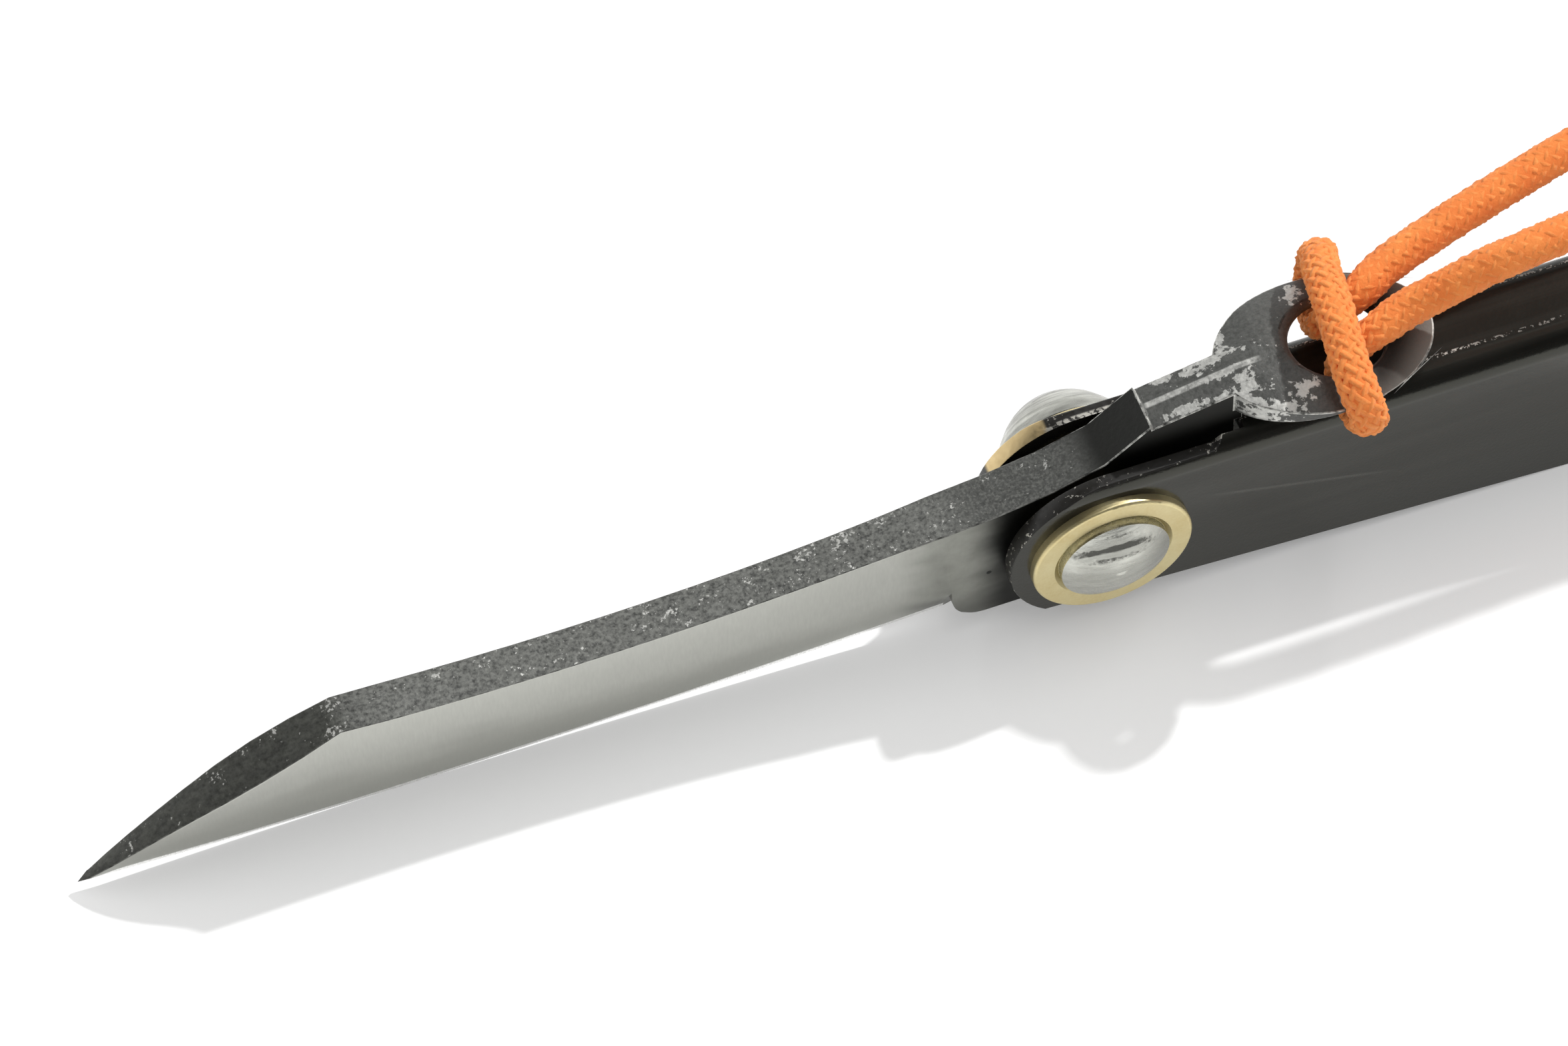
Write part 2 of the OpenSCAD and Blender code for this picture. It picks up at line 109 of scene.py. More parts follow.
def newGroup(name, values):
    # a place and some values go in, and one value comes out
    group = bpy.data.node_groups.new(name, "ShaderNodeTree")
    group.interface.new_socket("Vector", in_out="INPUT", socket_type="NodeSocketVector")
    for label, value in values.items():
        socket = group.interface.new_socket(label, in_out="INPUT", socket_type="NodeSocketFloat")
        socket.default_value = value
    group.interface.new_socket("Value", in_out="OUTPUT", socket_type="NodeSocketFloat")
    return group, group.nodes.new("NodeGroupInput").outputs


def endGroup(group, value):
    end = group.nodes.new("NodeGroupOutput")
    setInputs(group, end, {"Value": value})
    return group


def newMaterial(name, fixed):
    material = bpy.data.materials.new(name)
    material.use_nodes = True
    tree = material.node_tree
    shader = tree.nodes["Principled BSDF"]
    setInputs(tree, shader, fixed)
    return material, tree, shader


def calc(tree, operation, first, second=0.0):
    return addNode(tree, "ShaderNodeMath", {0: first, 1: second}, operation=operation).outputs[0]


def chain(tree, operation, values):
    total = values[0]
    for value in values[1:]:
        total = calc(tree, operation, total, value)
    return total


def plus(tree, *values):
    return chain(tree, "ADD", values)


def times(tree, *values):
    return chain(tree, "MULTIPLY", values)


def larger(tree, *values):
    return chain(tree, "MAXIMUM", values)


def minus(tree, first, second):
    return calc(tree, "SUBTRACT", first, second)


def apart(tree, first, second):
    return calc(tree, "ABSOLUTE", minus(tree, first, second))


def mixColor(tree, mask, low, high):
    return addNode(tree, "ShaderNodeMix", {0: mask, 6: low, 7: high}, data_type="RGBA").outputs[2]


def cover(tree, tone, over, *shares):
    # a colour laid over the tone, as much as the product of the shares
    return mixColor(tree, times(tree, *shares), tone, over)


def mapValue(tree, value, fromLow, fromHigh, toLow, toHigh, smooth=False):
    return addNode(tree, "ShaderNodeMapRange", {
        "Value": value, "From Min": fromLow, "From Max": fromHigh, "To Min": toLow, "To Max": toHigh},
        interpolation_type="SMOOTHSTEP" if smooth else "LINEAR").outputs["Result"]


def between(tree, mask, ends):
    # a mask from 0 to 1 becomes a value between two ends
    return mapValue(tree, mask, 0.0, 1.0, *ends)


def fade(tree, length, span, ends=(0.0, 1.0)):
    # a soft change from one end to the other, while a length runs over a span in mm
    return mapValue(tree, length, span[0] * mm, span[1] * mm, *ends, True)


def ramp(tree, length, span, ends=(0.0, 1.0)):
    # the same change, but even
    return mapValue(tree, length, span[0] * mm, span[1] * mm, *ends)


def objectPlace(tree):
    return addNode(tree, "ShaderNodeTexCoord").outputs["Object"]


def placeParts(tree, place, axes="XYZ"):
    parts = addNode(tree, "ShaderNodeSeparateXYZ", {"Vector": place}).outputs
    return [parts[axis] for axis in axes]


def stretched(tree, place, scale, turn=(0.0, 0.0, 0.0)):
    return addNode(tree, "ShaderNodeMapping", {
        "Vector": place, "Scale": scale, "Rotation": turn}).outputs["Vector"]


def seenFromAbove(tree, place):
    return stretched(tree, place, (1.0, 1.0, 0.0))


def distance(tree, place, middle):
    middle = Vector(middle) * mm
    node = addNode(tree, "ShaderNodeVectorMath", {0: place, 1: middle}, operation="DISTANCE")
    return node.outputs["Value"]


def ovalShare(tree, flat, oval):
    # 0 in the middle of an oval and 1 on its outline, for a place seen from above
    x, y, along, across, turn = oval
    placed = addNode(tree, "ShaderNodeMapping", {
        "Vector": flat, "Location": (x * mm, y * mm, 0.0), "Rotation": (0.0, 0.0, math.radians(turn)),
        "Scale": (along * mm, across * mm, 1.0)}, vector_type="TEXTURE").outputs["Vector"]
    return addNode(tree, "ShaderNodeVectorMath", {0: placed}, operation="LENGTH").outputs["Value"]


def bumpNormal(tree, height, strength, depth, inputs=None):
    return addNode(tree, "ShaderNodeBump", {
        "Height": height, "Strength": strength, "Distance": depth * mm, **(inputs or {})}).outputs["Normal"]


# Shared effects

fleckSet = {
    "small": 0.62,  # share of the small noise, the rest is that of the patches
    "detail": (3.0, 2.0),
    "roughness": 0.65,
    "bareAbove": 0.74,  # noise above which the metal is bare when the amount is 0
    "lowered": 0.28,  # how much lower that is when the amount is 1
    "edge": 0.03,
}


def makeMottle():
    # noise of a size in mm, of which the part between two levels becomes 0 to 1
    group, given = newGroup("mottle", {"Size mm": 1.0, "Detail": 4.0, "Low": 0.35, "High": 0.65})
    noise = addNode(group, "ShaderNodeTexNoise", {
        "Vector": given["Vector"], "Scale": calc(group, "DIVIDE", 1000.0, given["Size mm"]),
        "Detail": given["Detail"], "Roughness": 0.6}).outputs["Fac"]
    return endGroup(group, mapValue(group, noise, given["Low"], given["High"], 0.0, 1.0))


def makeFlecks():
    # small flecks that gather in patches
    group, given = newGroup("flecks", {"Size mm": 0.4, "Patch mm": 4.0, "Amount": 0.5})
    small = addNode(group, "ShaderNodeTexNoise", {
        "Vector": given["Vector"], "Scale": calc(group, "DIVIDE", 1000.0, given["Size mm"]),
        "Detail": fleckSet["detail"][0], "Roughness": fleckSet["roughness"]}).outputs["Fac"]
    patch = addNode(group, "ShaderNodeTexNoise", {
        "Vector": given["Vector"], "Scale": calc(group, "DIVIDE", 1000.0, given["Patch mm"]),
        "Detail": fleckSet["detail"][1]}).outputs["Fac"]
    both = plus(group, times(group, small, fleckSet["small"]), times(group, patch, 1 - fleckSet["small"]))
    low = minus(group, fleckSet["bareAbove"], times(group, given["Amount"], fleckSet["lowered"]))
    high = plus(group, low, fleckSet["edge"])
    return endGroup(group, mapValue(group, both, low, high, 0.0, 1.0))


mottle = makeMottle()
flecks = makeFlecks()


def mottleValue(tree, place, kind):
    size, detail, low, high = kind
    return addNode(tree, "ShaderNodeGroup", {
        "Vector": place, "Size mm": size, "Detail": detail, "Low": low, "High": high},
        node_tree=mottle).outputs["Value"]


def fleckValue(tree, place, sizes, amount):
    return addNode(tree, "ShaderNodeGroup", {
        "Vector": place, "Size mm": sizes[0], "Patch mm": sizes[1], "Amount": amount},
        node_tree=flecks).outputs["Value"]


# Materials
# Places and spans are in mm in the part's frame. A mottle has its size in mm, its detail, and the
# noise that counts as 0 and as 1. A pair of values is for a mask of 0 and of 1.

coatLook = {
    "dark": (0.006, 0.0058, 0.005, 1),
    # paler streaks along the handle, mixed in by a stretched noise
    "paler": (0.03, 0.0285, 0.025, 1),
    "palerShare": 0.35,
    "reflectionTint": (1.0, 1.0, 0.87, 1),
    "specular": (0.5, 0.22),  # on the sides, on the back
    "roughness": (0.14, 0.24),
    "backRoughness": 0.16,  # more of it on the back and on the dots
    "grainBump": (0.55, 0.006),  # strength, mm
    "backFrom": (12.8, 13.4),  # up
    "cloud": (9.0, 4.0, 0.3, 0.75),
    "grain": (0.22, 3.0, 0.3, 0.7),
    "streaks": (0.9, 3.0, 0.45, 0.75),
    "streakStretch": (0.04, 1.0, 1.0),
    # two rows of painted highlight dots along the folds of the back, pale and partly metallic
    "bareAndHighlight": (0.7, 0.69, 0.64, 1),
    "bareMetalAndHighlight": 0.6,
    "highlightDots": (0.2, 2.0, 0.52, 0.59),
    "dotCloud": (0.2, 0.6, 0.35, 1.0),  # from a cloud's values to shares of a dot's strength
    "rowAt": 1.8,  # across, from the middle of both rows
    "rowShift": 0.35,  # how far both rows lie towards the far side
    "rowWidth": (0.06, 0.15),
    "rowHeight": (13.1, 13.3),
    # a painted reflection: a faint pale line aslant along the near side
    "line": (0.06, 0.06, 0.055, 1),
    "sideReflectionStart": (1.2, 9.16),  # along and up
    "sideReflectionSlope": -0.299,
    "lineWidth": (0.04, 0.22),
    "sideReflectionMiddle": 7.2,
    "sideReflectionReach": (3.5, 6.5),
    "lineShare": 0.6,
    "nearSide": (-4.2, -4.3),  # across
}


def makeCoat():
    look = coatLook
    material, tree, shader = newMaterial("darkCoat", {"IOR": 1.55, "Specular Tint": look["reflectionTint"]})
    place = objectPlace(tree)
    x, y, z = placeParts(tree, place)
    cloud = mottleValue(tree, place, look["cloud"])
    streaks = mottleValue(tree, stretched(tree, place, look["streakStretch"]), look["streaks"])
    tone = cover(tree, look["dark"], look["paler"], streaks, look["palerShare"])
    aside = calc(tree, "ABSOLUTE", minus(tree, y, (pivotY + look["rowShift"]) * mm))
    # painted highlight dots along the folds of the back
    highlightDots = times(tree, fade(tree, apart(tree, aside, look["rowAt"] * mm), look["rowWidth"], (1.0, 0.0)),
                 ramp(tree, z, look["rowHeight"]), mottleValue(tree, place, look["highlightDots"]),
                 mapValue(tree, cloud, *look["dotCloud"]))
    tone = mixColor(tree, highlightDots, tone, look["bareAndHighlight"])
    # the painted reflection line along the near side
    startX, startZ = look["sideReflectionStart"]
    fall = times(tree, minus(tree, x, startX * mm), look["sideReflectionSlope"])
    offLine = apart(tree, minus(tree, z, startZ * mm), fall)
    offMiddle = apart(tree, x, look["sideReflectionMiddle"] * mm)
    line = times(tree, fade(tree, offLine, look["lineWidth"], (1.0, 0.0)), ramp(tree, y, look["nearSide"]),
                 fade(tree, offMiddle, look["sideReflectionReach"], (look["lineShare"], 0.0)))
    back = fade(tree, z, look["backFrom"])
    setInputs(tree, shader, {
        "Base Color": mixColor(tree, line, tone, look["line"]),
        "Metallic": times(tree, highlightDots, look["bareMetalAndHighlight"]),
        "Specular IOR Level": between(tree, back, look["specular"]),
        "Roughness": plus(tree, between(tree, cloud, look["roughness"]),
                          times(tree, larger(tree, highlightDots, back), look["backRoughness"])),
        "Normal": bumpNormal(tree, mottleValue(tree, place, look["grain"]), *look["grainBump"])})
    return material


sheetEdgeLook = {
    "dark": (0.012, 0.011, 0.009, 1),
    "chip": (0.62, 0.6, 0.54, 1),
    "brass": (0.74, 0.57, 0.30, 1),
    "bareMetalAndHighlight": 0.85,
    "roughness": (0.3, 0.5),
    "mottle": (0.4, 4.0, 0.35, 0.65),
    "grain": (0.3, 4.0, 0.35, 0.65),
    "grainBump": (0.4, 0.01),
    "farWall": (-0.2, 0.2),  # across
    "noseHeight": (9.6, 10.0),
    "noseAhead": (-6.6, -7.0),  # along
    "chipSizes": (0.3, 2.5),  # a chip, a patch of chips
    "chipAmount": (0.57, 0.6),  # near wall, far wall
    "rimAt": 0.88,  # across, to the far wall's inner rim
    "rimWidth": (0.12, 0.22),
    "rimDots": (0.32, 3.0, 0.42, 0.52),
}


def makeSheetEdge():
    # the far wall's nose is rubbed down to the brass, the near one is only chipped
    look = sheetEdgeLook
    material, tree, shader = newMaterial("sheetEdge", {"IOR": 1.5})
    place = objectPlace(tree)
    x, y, z = placeParts(tree, place)
    farWall = ramp(tree, y, look["farWall"])
    brass = times(tree, fade(tree, z, look["noseHeight"]), fade(tree, x, look["noseAhead"]), farWall)
    rim = times(tree, ramp(tree, apart(tree, y, look["rimAt"] * mm), look["rimWidth"], (1.0, 0.0)),
                mottleValue(tree, place, look["rimDots"]))
    chips = fleckValue(tree, place, look["chipSizes"], between(tree, farWall, look["chipAmount"]))
    chips = larger(tree, chips, rim)
    tone = mixColor(tree, chips, look["dark"], look["chip"])
    setInputs(tree, shader, {
        "Base Color": mixColor(tree, brass, tone, look["brass"]),
        "Metallic": times(tree, larger(tree, brass, chips), look["bareMetalAndHighlight"]),
        "Roughness": between(tree, mottleValue(tree, place, look["mottle"]), look["roughness"]),
        "Normal": bumpNormal(tree, mottleValue(tree, place, look["grain"]), *look["grainBump"])})
    return material


groundLook = {
    "light": (0.60, 0.605, 0.56, 1),
    "shade": (0.45, 0.455, 0.415, 1),
    "lightFrom": (1.6, 5.8),  # up
    "waver": 2.2,  # how far the borders wander
    "roughness": (0.38, 0.48),
    "cloud": (4.5, 3.0, 0.3, 0.7),
    "cloudStretch": (0.35, 1.0, 1.0),
    # upright grinding lines
    "line": (0.34, 0.34, 0.32, 1),
    "lineShare": 0.16,
    "lines": (0.16, 3.0, 0.3, 0.7),
    "lineStretch": (1.0, 1.0, 0.07),
    "lineBump": (0.25, 0.003),
    # the unground end by the pivot, darker towards the bottom, with painted shade that darkens it to near
    # black towards the handle, and one small dark spot
    "raw": (0.27, 0.275, 0.245, 1),
    "rawFrom": (-17.8, -14.6),  # along
    "rawWaver": 0.6,  # share of the other borders' waver
    "stain": (1.3, 4.0, 0.3, 0.7),
    "stainShare": (0.75, 1.0),
    "foot": (0.10, 0.10, 0.092, 1),
    "footFrom": (4.6, 2.2),  # up
    "footShare": 0.6,
    "deep": (0.025, 0.025, 0.023, 1),
    "deepFrom": (-13.4, -10.4),  # along
    "darkSpot": (-11.67, -2.83, 5.7),
    "darkSpotSize": (0.12, 0.28),
}


def makeGround():
    look = groundLook
    material, tree, shader = newMaterial("groundSteel", {"Metallic": 1.0})
    place = objectPlace(tree)
    x, z = placeParts(tree, place, "XZ")
    lines = mottleValue(tree, stretched(tree, place, look["lineStretch"]), look["lines"])
    cloud = mottleValue(tree, stretched(tree, place, look["cloudStretch"]), look["cloud"])
    wave = times(tree, minus(tree, cloud, 0.5), look["waver"] * mm)
    tone = mixColor(tree, fade(tree, plus(tree, z, wave), look["lightFrom"]), look["shade"], look["light"])
    tone = cover(tree, tone, look["line"], lines, look["lineShare"])
    along = plus(tree, x, times(tree, wave, look["rawWaver"]))
    raw = fade(tree, along, look["rawFrom"])
    stain = between(tree, mottleValue(tree, place, look["stain"]), look["stainShare"])
    tone = cover(tree, tone, look["raw"], raw, stain)
    foot = fade(tree, z, look["footFrom"], (0.0, look["footShare"]))
    tone = cover(tree, tone, look["foot"], raw, foot)
    darkSpot = fade(tree, distance(tree, place, look["darkSpot"]), look["darkSpotSize"], (1.0, 0.0))
    # painted shade towards the handle, joined with the dark spot
    deep = larger(tree, fade(tree, along, look["deepFrom"]), darkSpot)
    setInputs(tree, shader, {
        "Base Color": mixColor(tree, deep, tone, look["deep"]),
        "Roughness": between(tree, cloud, look["roughness"]),
        "Normal": bumpNormal(tree, lines, *look["lineBump"])})
    return material


edgeSteelLook = {
    "tones": ((0.88, 0.88, 0.86, 1), (0.72, 0.72, 0.7, 1)),
    "roughness": (0.2, 0.32),
    "lines": (0.1, 2.0, 0.35, 0.65),
    "lineStretch": (1.0, 1.0, 0.1),
}


def makeEdgeSteel():
    look = edgeSteelLook
    material, tree, shader = newMaterial("edgeSteel", {"Metallic": 1.0})
    lines = mottleValue(tree, stretched(tree, objectPlace(tree), look["lineStretch"]), look["lines"])
    setInputs(tree, shader, {
        "Base Color": mixColor(tree, lines, *look["tones"]),
        "Roughness": between(tree, lines, look["roughness"])})
    return material


eyelet = {
    "hole": (10.3, -1.1, 0.0),
    "plate": (9.5, -1.1, 6.6, 4.75, 0),  # middle, reach along and across, turn
}

scaleLook = {
    "dark": (0.034, 0.035, 0.032, 1),
    "mid": (0.14, 0.142, 0.133, 1),
    "pale": (0.2, 0.204, 0.186, 1),
    "cloudShare": 0.4,
    "speckleShare": (0.75, 0.2),  # on the spine, on the tang
    "tangShadeShare": 0.5,
    "grainShare": (0.15, 0.5),  # on the lever, on the spine
    "roughness": (0.42, 0.6),
    "specular": (0.5, 0.22),  # elsewhere, on the front facet and past the hole
    "cloudBump": (0.35, 0.05),
    "gritBump": (0.6, 0.025),
    "mottles": {
        "grit": (0.3, 5.0, 0.3, 0.7),
        "grain": (0.17, 2.0, 0.46, 0.66),
        "speckle": (0.27, 3.0, 0.36, 0.64),
        "cloud": (3.2, 4.0, 0.32, 0.68),
        "ragged": (0.5, 4.0, 0.3, 0.7),
    },
    "spineFrom": (-4.5, -7.5),  # along
    "tangFrom": (-15.0, -11.5),
    # the facet at the tip is drawn lengthwise, and darkened with painted shade as it faces away from the
    # light
    "tipShadedTones": ((0.018, 0.019, 0.014, 1), (0.058, 0.06, 0.048, 1)),
    "tipShare": 0.75,
    "tipFrom": (-50.0, -51.2),
    "streaks": (0.35, 3.0, 0.35, 0.7),
    "streakStretch": (0.12, 1.0, 1.0),
    # the front facet of the lever is smooth, darkened with painted shade as it faces away from the light,
    # with a bright line along its top
    "facet": (0.015, 0.0155, 0.0135, 1),
    "facetShadeShare": 0.95,
    "facetFrom": (-6.2, -4.4),
    "facetTo": (-1.65, -1.8),
    "lineAt": -1.7,
    "lineWaver": 0.22,
    "lineWidth": (0.03, 0.12),
    "lineShare": 0.8,
    # painted shade makes the sides of the neck black
    "neck": (0.012, 0.012, 0.011, 1),
    "neckShadeShare": 0.9,
    "neckSide": (1.41, 1.43),  # across, from the middle
    "neckFrom": (-8.5, -7.0),
    "neckTo": (3.4, 3.0),
    # past the hole the plate is browner, a painted reflection of the cord, with painted shade that darkens it
    # by the hole and a painted highlight along its rim
    "ring": (0.2, 0.187, 0.168, 1),
    "ringShade": (0.014, 0.011, 0.009, 1),
    "ringShare": 0.9,
    "ringFrom": (10.2, 11.8),
    "ringShadeTo": (3.3, 5.8),  # from the hole's middle
    "ringMetal": (0.2, 0.0),  # elsewhere, past the hole
    "ringRoughness": 0.4,
    "rimHighlightShare": (0.978, 0.988),  # of the way from the plate's middle to its outline
}

bareAndHighlightLook = {
    "tone": (0.80, 0.80, 0.76, 1),
    "share": (0.6, 0.95),
    "metal": 0.5,
    "sizes": (0.26, 1.3),  # a fleck, a patch of flecks
    "amount": 0.4,
    # along the spine the flecks thicken towards the heel and on its far side
    "heelFrom": (-45.0, -26.0),
    "heelTo": (-11.5, -15.0),
    "heelMore": 0.12,
    "farSide": (-1.4, -0.2),  # across
    "farMore": 0.1,
    "cornerAt": -50.6,  # along, where the spine drops to the tip
    "cornerReach": (0.4, 1.4),
    "cornerMore": 0.18,
    "smoothLess": 0.3,
    # a pale line along the neck's ridge
    "ridgeWidth": (0.12, 0.24),
    "ridgeFrom": (-1.7, -1.4),
    "ridgeTo": (5.8, 4.6),
    "ridgeRagged": (0.15, 0.5, 0.35, 1.0),
    "lineRagged": (0.0, 0.6, 0.2, 0.8),
    # rubbed patches on the lever: middle, reach along and across, turn in degrees
    "patches": [(2.5, 0.05, 1.9, 0.75, 0), (4.1, -2.6, 1.0, 0.8, 20), (4.0, -3.5, 1.2, 0.45, -50),
                (5.5, -4.5, 1.5, 0.4, -20), (0.7, -2.55, 1.5, 0.35, 0), (7.2, -4.0, 1.0, 0.7, 0),
                (8.9, 2.5, 0.8, 0.6, 60), (3.9, 1.0, 0.5, 0.3, 60), (3.2, -1.4, 1.2, 0.3, 0),
                (2.6, -2.75, 1.0, 0.35, 0), (0.2, 0.1, 1.0, 0.3, 0)],
    "patchRagged": 1.7,
    "patchEdge": (0.18, 0.34),
    "patchHeight": (15.0, 15.3),
}


def scaleZones(tree, place, ragged):
    # masks of the zones of the forging
    look = scaleLook
    x, y, z = placeParts(tree, place)
    flat = seenFromAbove(tree, place)
    aside = apart(tree, y, pivotY * mm)
    ring = fade(tree, x, look["ringFrom"])
    # the painted highlight along the plate's rim
    rimHighlightShare = mapValue(tree, ovalShare(tree, flat, eyelet["plate"]), *look["rimHighlightShare"], 0.0, 1.0)
    waver = times(tree, minus(tree, ragged, 0.5), look["lineWaver"] * mm)
    line = apart(tree, plus(tree, x, waver), look["lineAt"] * mm)
    onNeck = times(tree, ramp(tree, x, bareAndHighlightLook["ridgeFrom"]), fade(tree, x, bareAndHighlightLook["ridgeTo"]))
    shares = [ovalShare(tree, flat, patch) for patch in bareAndHighlightLook["patches"]]
    inside = minus(tree, 1.0, chain(tree, "MINIMUM", shares))
    rubbed = plus(tree, inside, times(tree, minus(tree, ragged, 0.5), bareAndHighlightLook["patchRagged"]))
    return {
        "spine": fade(tree, x, look["spineFrom"]),
        "tang": fade(tree, x, look["tangFrom"]),
        "tip": ramp(tree, x, look["tipFrom"]),
        "facet": times(tree, fade(tree, x, look["facetFrom"]), ramp(tree, x, look["facetTo"])),
        "line": ramp(tree, line, look["lineWidth"], (look["lineShare"], 0.0)),
        "neck": times(tree, ramp(tree, aside, look["neckSide"]), ramp(tree, x, look["neckFrom"]),
                      ramp(tree, x, look["neckTo"])),
        "ring": ring,
        "outward": fade(tree, distance(tree, flat, eyelet["hole"]), look["ringShadeTo"]),
        "rim": times(tree, ring, rimHighlightShare),
        "heel": times(tree, fade(tree, x, bareAndHighlightLook["heelFrom"]), fade(tree, x, bareAndHighlightLook["heelTo"])),
        "farSide": fade(tree, y, bareAndHighlightLook["farSide"]),
        "corner": ramp(tree, apart(tree, x, bareAndHighlightLook["cornerAt"] * mm), bareAndHighlightLook["cornerReach"], (1.0, 0.0)),
        "ridge": times(tree, fade(tree, aside, bareAndHighlightLook["ridgeWidth"], (1.0, 0.0)), onNeck),
        "paler": times(tree, mapValue(tree, rubbed, *bareAndHighlightLook["patchEdge"], 0.0, 1.0),
                      ramp(tree, z, bareAndHighlightLook["patchHeight"])),
    }


def scaleTone(tree, place, mottles, zones):
    look = scaleLook
    tone = mixColor(tree, mottles["grit"], look["dark"], look["mid"])
    tone = cover(tree, tone, look["pale"], mottles["cloud"], look["cloudShare"])
    speckled = mixColor(tree, mottles["speckle"], look["dark"], look["pale"])
    tone = cover(tree, tone, speckled, zones["spine"], between(tree, zones["tang"], look["speckleShare"]))
    # painted shade on the tang where it runs into the handle
    tone = cover(tree, tone, look["dark"], zones["tang"], look["tangShadeShare"])
    grainShare = between(tree, zones["spine"], look["grainShare"])
    tone = cover(tree, tone, look["pale"], mottles["grain"], grainShare)
    streaks = mottleValue(tree, stretched(tree, place, look["streakStretch"]), look["streaks"])
    # the tip's lengthwise streaks, darkened with painted shade
    tone = cover(tree, tone, mixColor(tree, streaks, *look["tipShadedTones"]), zones["tip"], look["tipShare"])
    # painted shade on the front facet
    tone = cover(tree, tone, look["facet"], zones["facet"], look["facetShadeShare"])
    # painted shade by the hole, paler outward
    ringTone = mixColor(tree, zones["outward"], look["ringShade"], look["ring"])
    tone = cover(tree, tone, ringTone, zones["ring"], look["ringShare"])
    # painted shade on the sides of the neck
    return cover(tree, tone, look["neck"], zones["neck"], look["neckShadeShare"])


def bareMetalAndHighlight(tree, place, ragged, zones):
    # silver where the lever is thumbed, a pale line along the ridge, bright lines along the front facet's
    # top, a painted highlight along the plate's rim, and flecks elsewhere
    look = bareAndHighlightLook
    more = plus(tree, look["amount"], times(tree, zones["heel"], look["heelMore"]),
                times(tree, zones["spine"], zones["farSide"], look["farMore"]),
                times(tree, larger(tree, zones["neck"], zones["corner"]), look["cornerMore"]))
    amount = minus(tree, more, times(tree, larger(tree, zones["facet"], zones["ring"]), look["smoothLess"]))
    ridge = times(tree, zones["ridge"], mapValue(tree, ragged, *look["ridgeRagged"]))
    lines = times(tree, larger(tree, zones["line"], zones["rim"]),
                  mapValue(tree, ragged, *look["lineRagged"]))
    return larger(tree, fleckValue(tree, place, look["sizes"], amount), ridge, zones["paler"], lines)


def makeScale():
    look = scaleLook
    material, tree, shader = newMaterial("forgeScale", {"IOR": 1.6})
    place = objectPlace(tree)
    mottles = {name: mottleValue(tree, place, kind) for name, kind in look["mottles"].items()}
    grit, ragged = mottles["grit"], mottles["ragged"]
    zones = scaleZones(tree, place, ragged)
    tone = scaleTone(tree, place, mottles, zones)
    # bare metal, and the painted highlight along the plate's rim
    bareAndHighlight = bareMetalAndHighlight(tree, place, ragged, zones)
    dull = times(tree, zones["ring"], minus(tree, 1.0, bareAndHighlight), look["ringRoughness"])
    cloudNormal = bumpNormal(tree, mottles["cloud"], *look["cloudBump"])
    setInputs(tree, shader, {
        "Base Color": cover(tree, tone, bareAndHighlightLook["tone"], bareAndHighlight, between(tree, grit, bareAndHighlightLook["share"])),
        "Metallic": plus(tree, times(tree, bareAndHighlight, bareAndHighlightLook["metal"]),
                         between(tree, zones["ring"], look["ringMetal"])),
        "Roughness": plus(tree, between(tree, grit, look["roughness"]), dull),
        "Specular IOR Level": between(tree, larger(tree, zones["ring"], zones["facet"]), look["specular"]),
        "Normal": bumpNormal(tree, grit, *look["gritBump"], {"Normal": cloudNormal})})
    return material


wornEdgeLook = {
    "tones": ((0.05, 0.05, 0.046, 1), (0.62, 0.62, 0.58, 1)),
    "roughness": (0.5, 0.3),
    "mottle": (0.45, 4.0, 0.36, 0.6),
    "leverFrom": (-5.6, -4.4),  # along
    "share": (0.3, 1.0),  # on the blade, on the lever
    "holeRim": (3.9, 4.3),  # from the hole's middle
    "holeShare": 0.1,
}


def makeWornEdge():
    look = wornEdgeLook
    material, tree, shader = newMaterial("wornEdge", {"Metallic": 0.5})
    place = objectPlace(tree)
    lever = ramp(tree, placeParts(tree, place, "X")[0], look["leverFrom"])
    fromHole = distance(tree, seenFromAbove(tree, place), eyelet["hole"])
    rubbed = times(tree, mottleValue(tree, place, look["mottle"]), between(tree, lever, look["share"]),
                   ramp(tree, fromHole, look["holeRim"], (look["holeShare"], 1.0)))
    setInputs(tree, shader, {
        "Base Color": mixColor(tree, rubbed, *look["tones"]),
        "Roughness": between(tree, rubbed, look["roughness"])})
    return material


rivetLook = {
    "light": (0.60, 0.605, 0.555, 1),
    "shade": (0.36, 0.36, 0.325, 1),
    "shadeShare": 0.6,
    "shadeFrom": (-4.0, -1.5),  # along
    "rightShare": 0.8,
    "streaks": (0.7, 4.0, 0.3, 0.7),
    "streakStretch": (0.3, 1.0, 1.5),
    "streakTurn": (0.0, 0.1, 0.0),
    "fine": (0.22, 3.0, 0.35, 0.7),
    "roughness": (0.16, 0.3),
    "fineRoughness": 0.08,
    "bump": (0.35, 0.03),
    # a painted dark reflection in the middle of each head, broken into arcs
    "darkReflection": (0.05, 0.05, 0.045, 1),
    "darkReflectionShare": 0.93,
    "darkReflectionAt": (-0.3, 2.1),  # along and up, from the pivot
    "darkReflectionReach": (2.7, 1.0),
    "darkReflectionBow": 0.5,
    "darkReflectionRagged": 0.5,
    "darkReflectionEdge": (1.0, 0.25),
    "arcs": 7.0,
    "arcWaver": 2.6,
    "arcShare": (-0.4, 0.6, 0.35, 1.0),
    # concentric dark marks on the far head
    "markTone": (0.16, 0.16, 0.145, 1),
    "markShare": 0.75,
    "marks": (0.28, 2.0, 0.38, 0.66),
    "markWaver": 0.06,
    "farHead": (0.0, 0.5),  # across
}


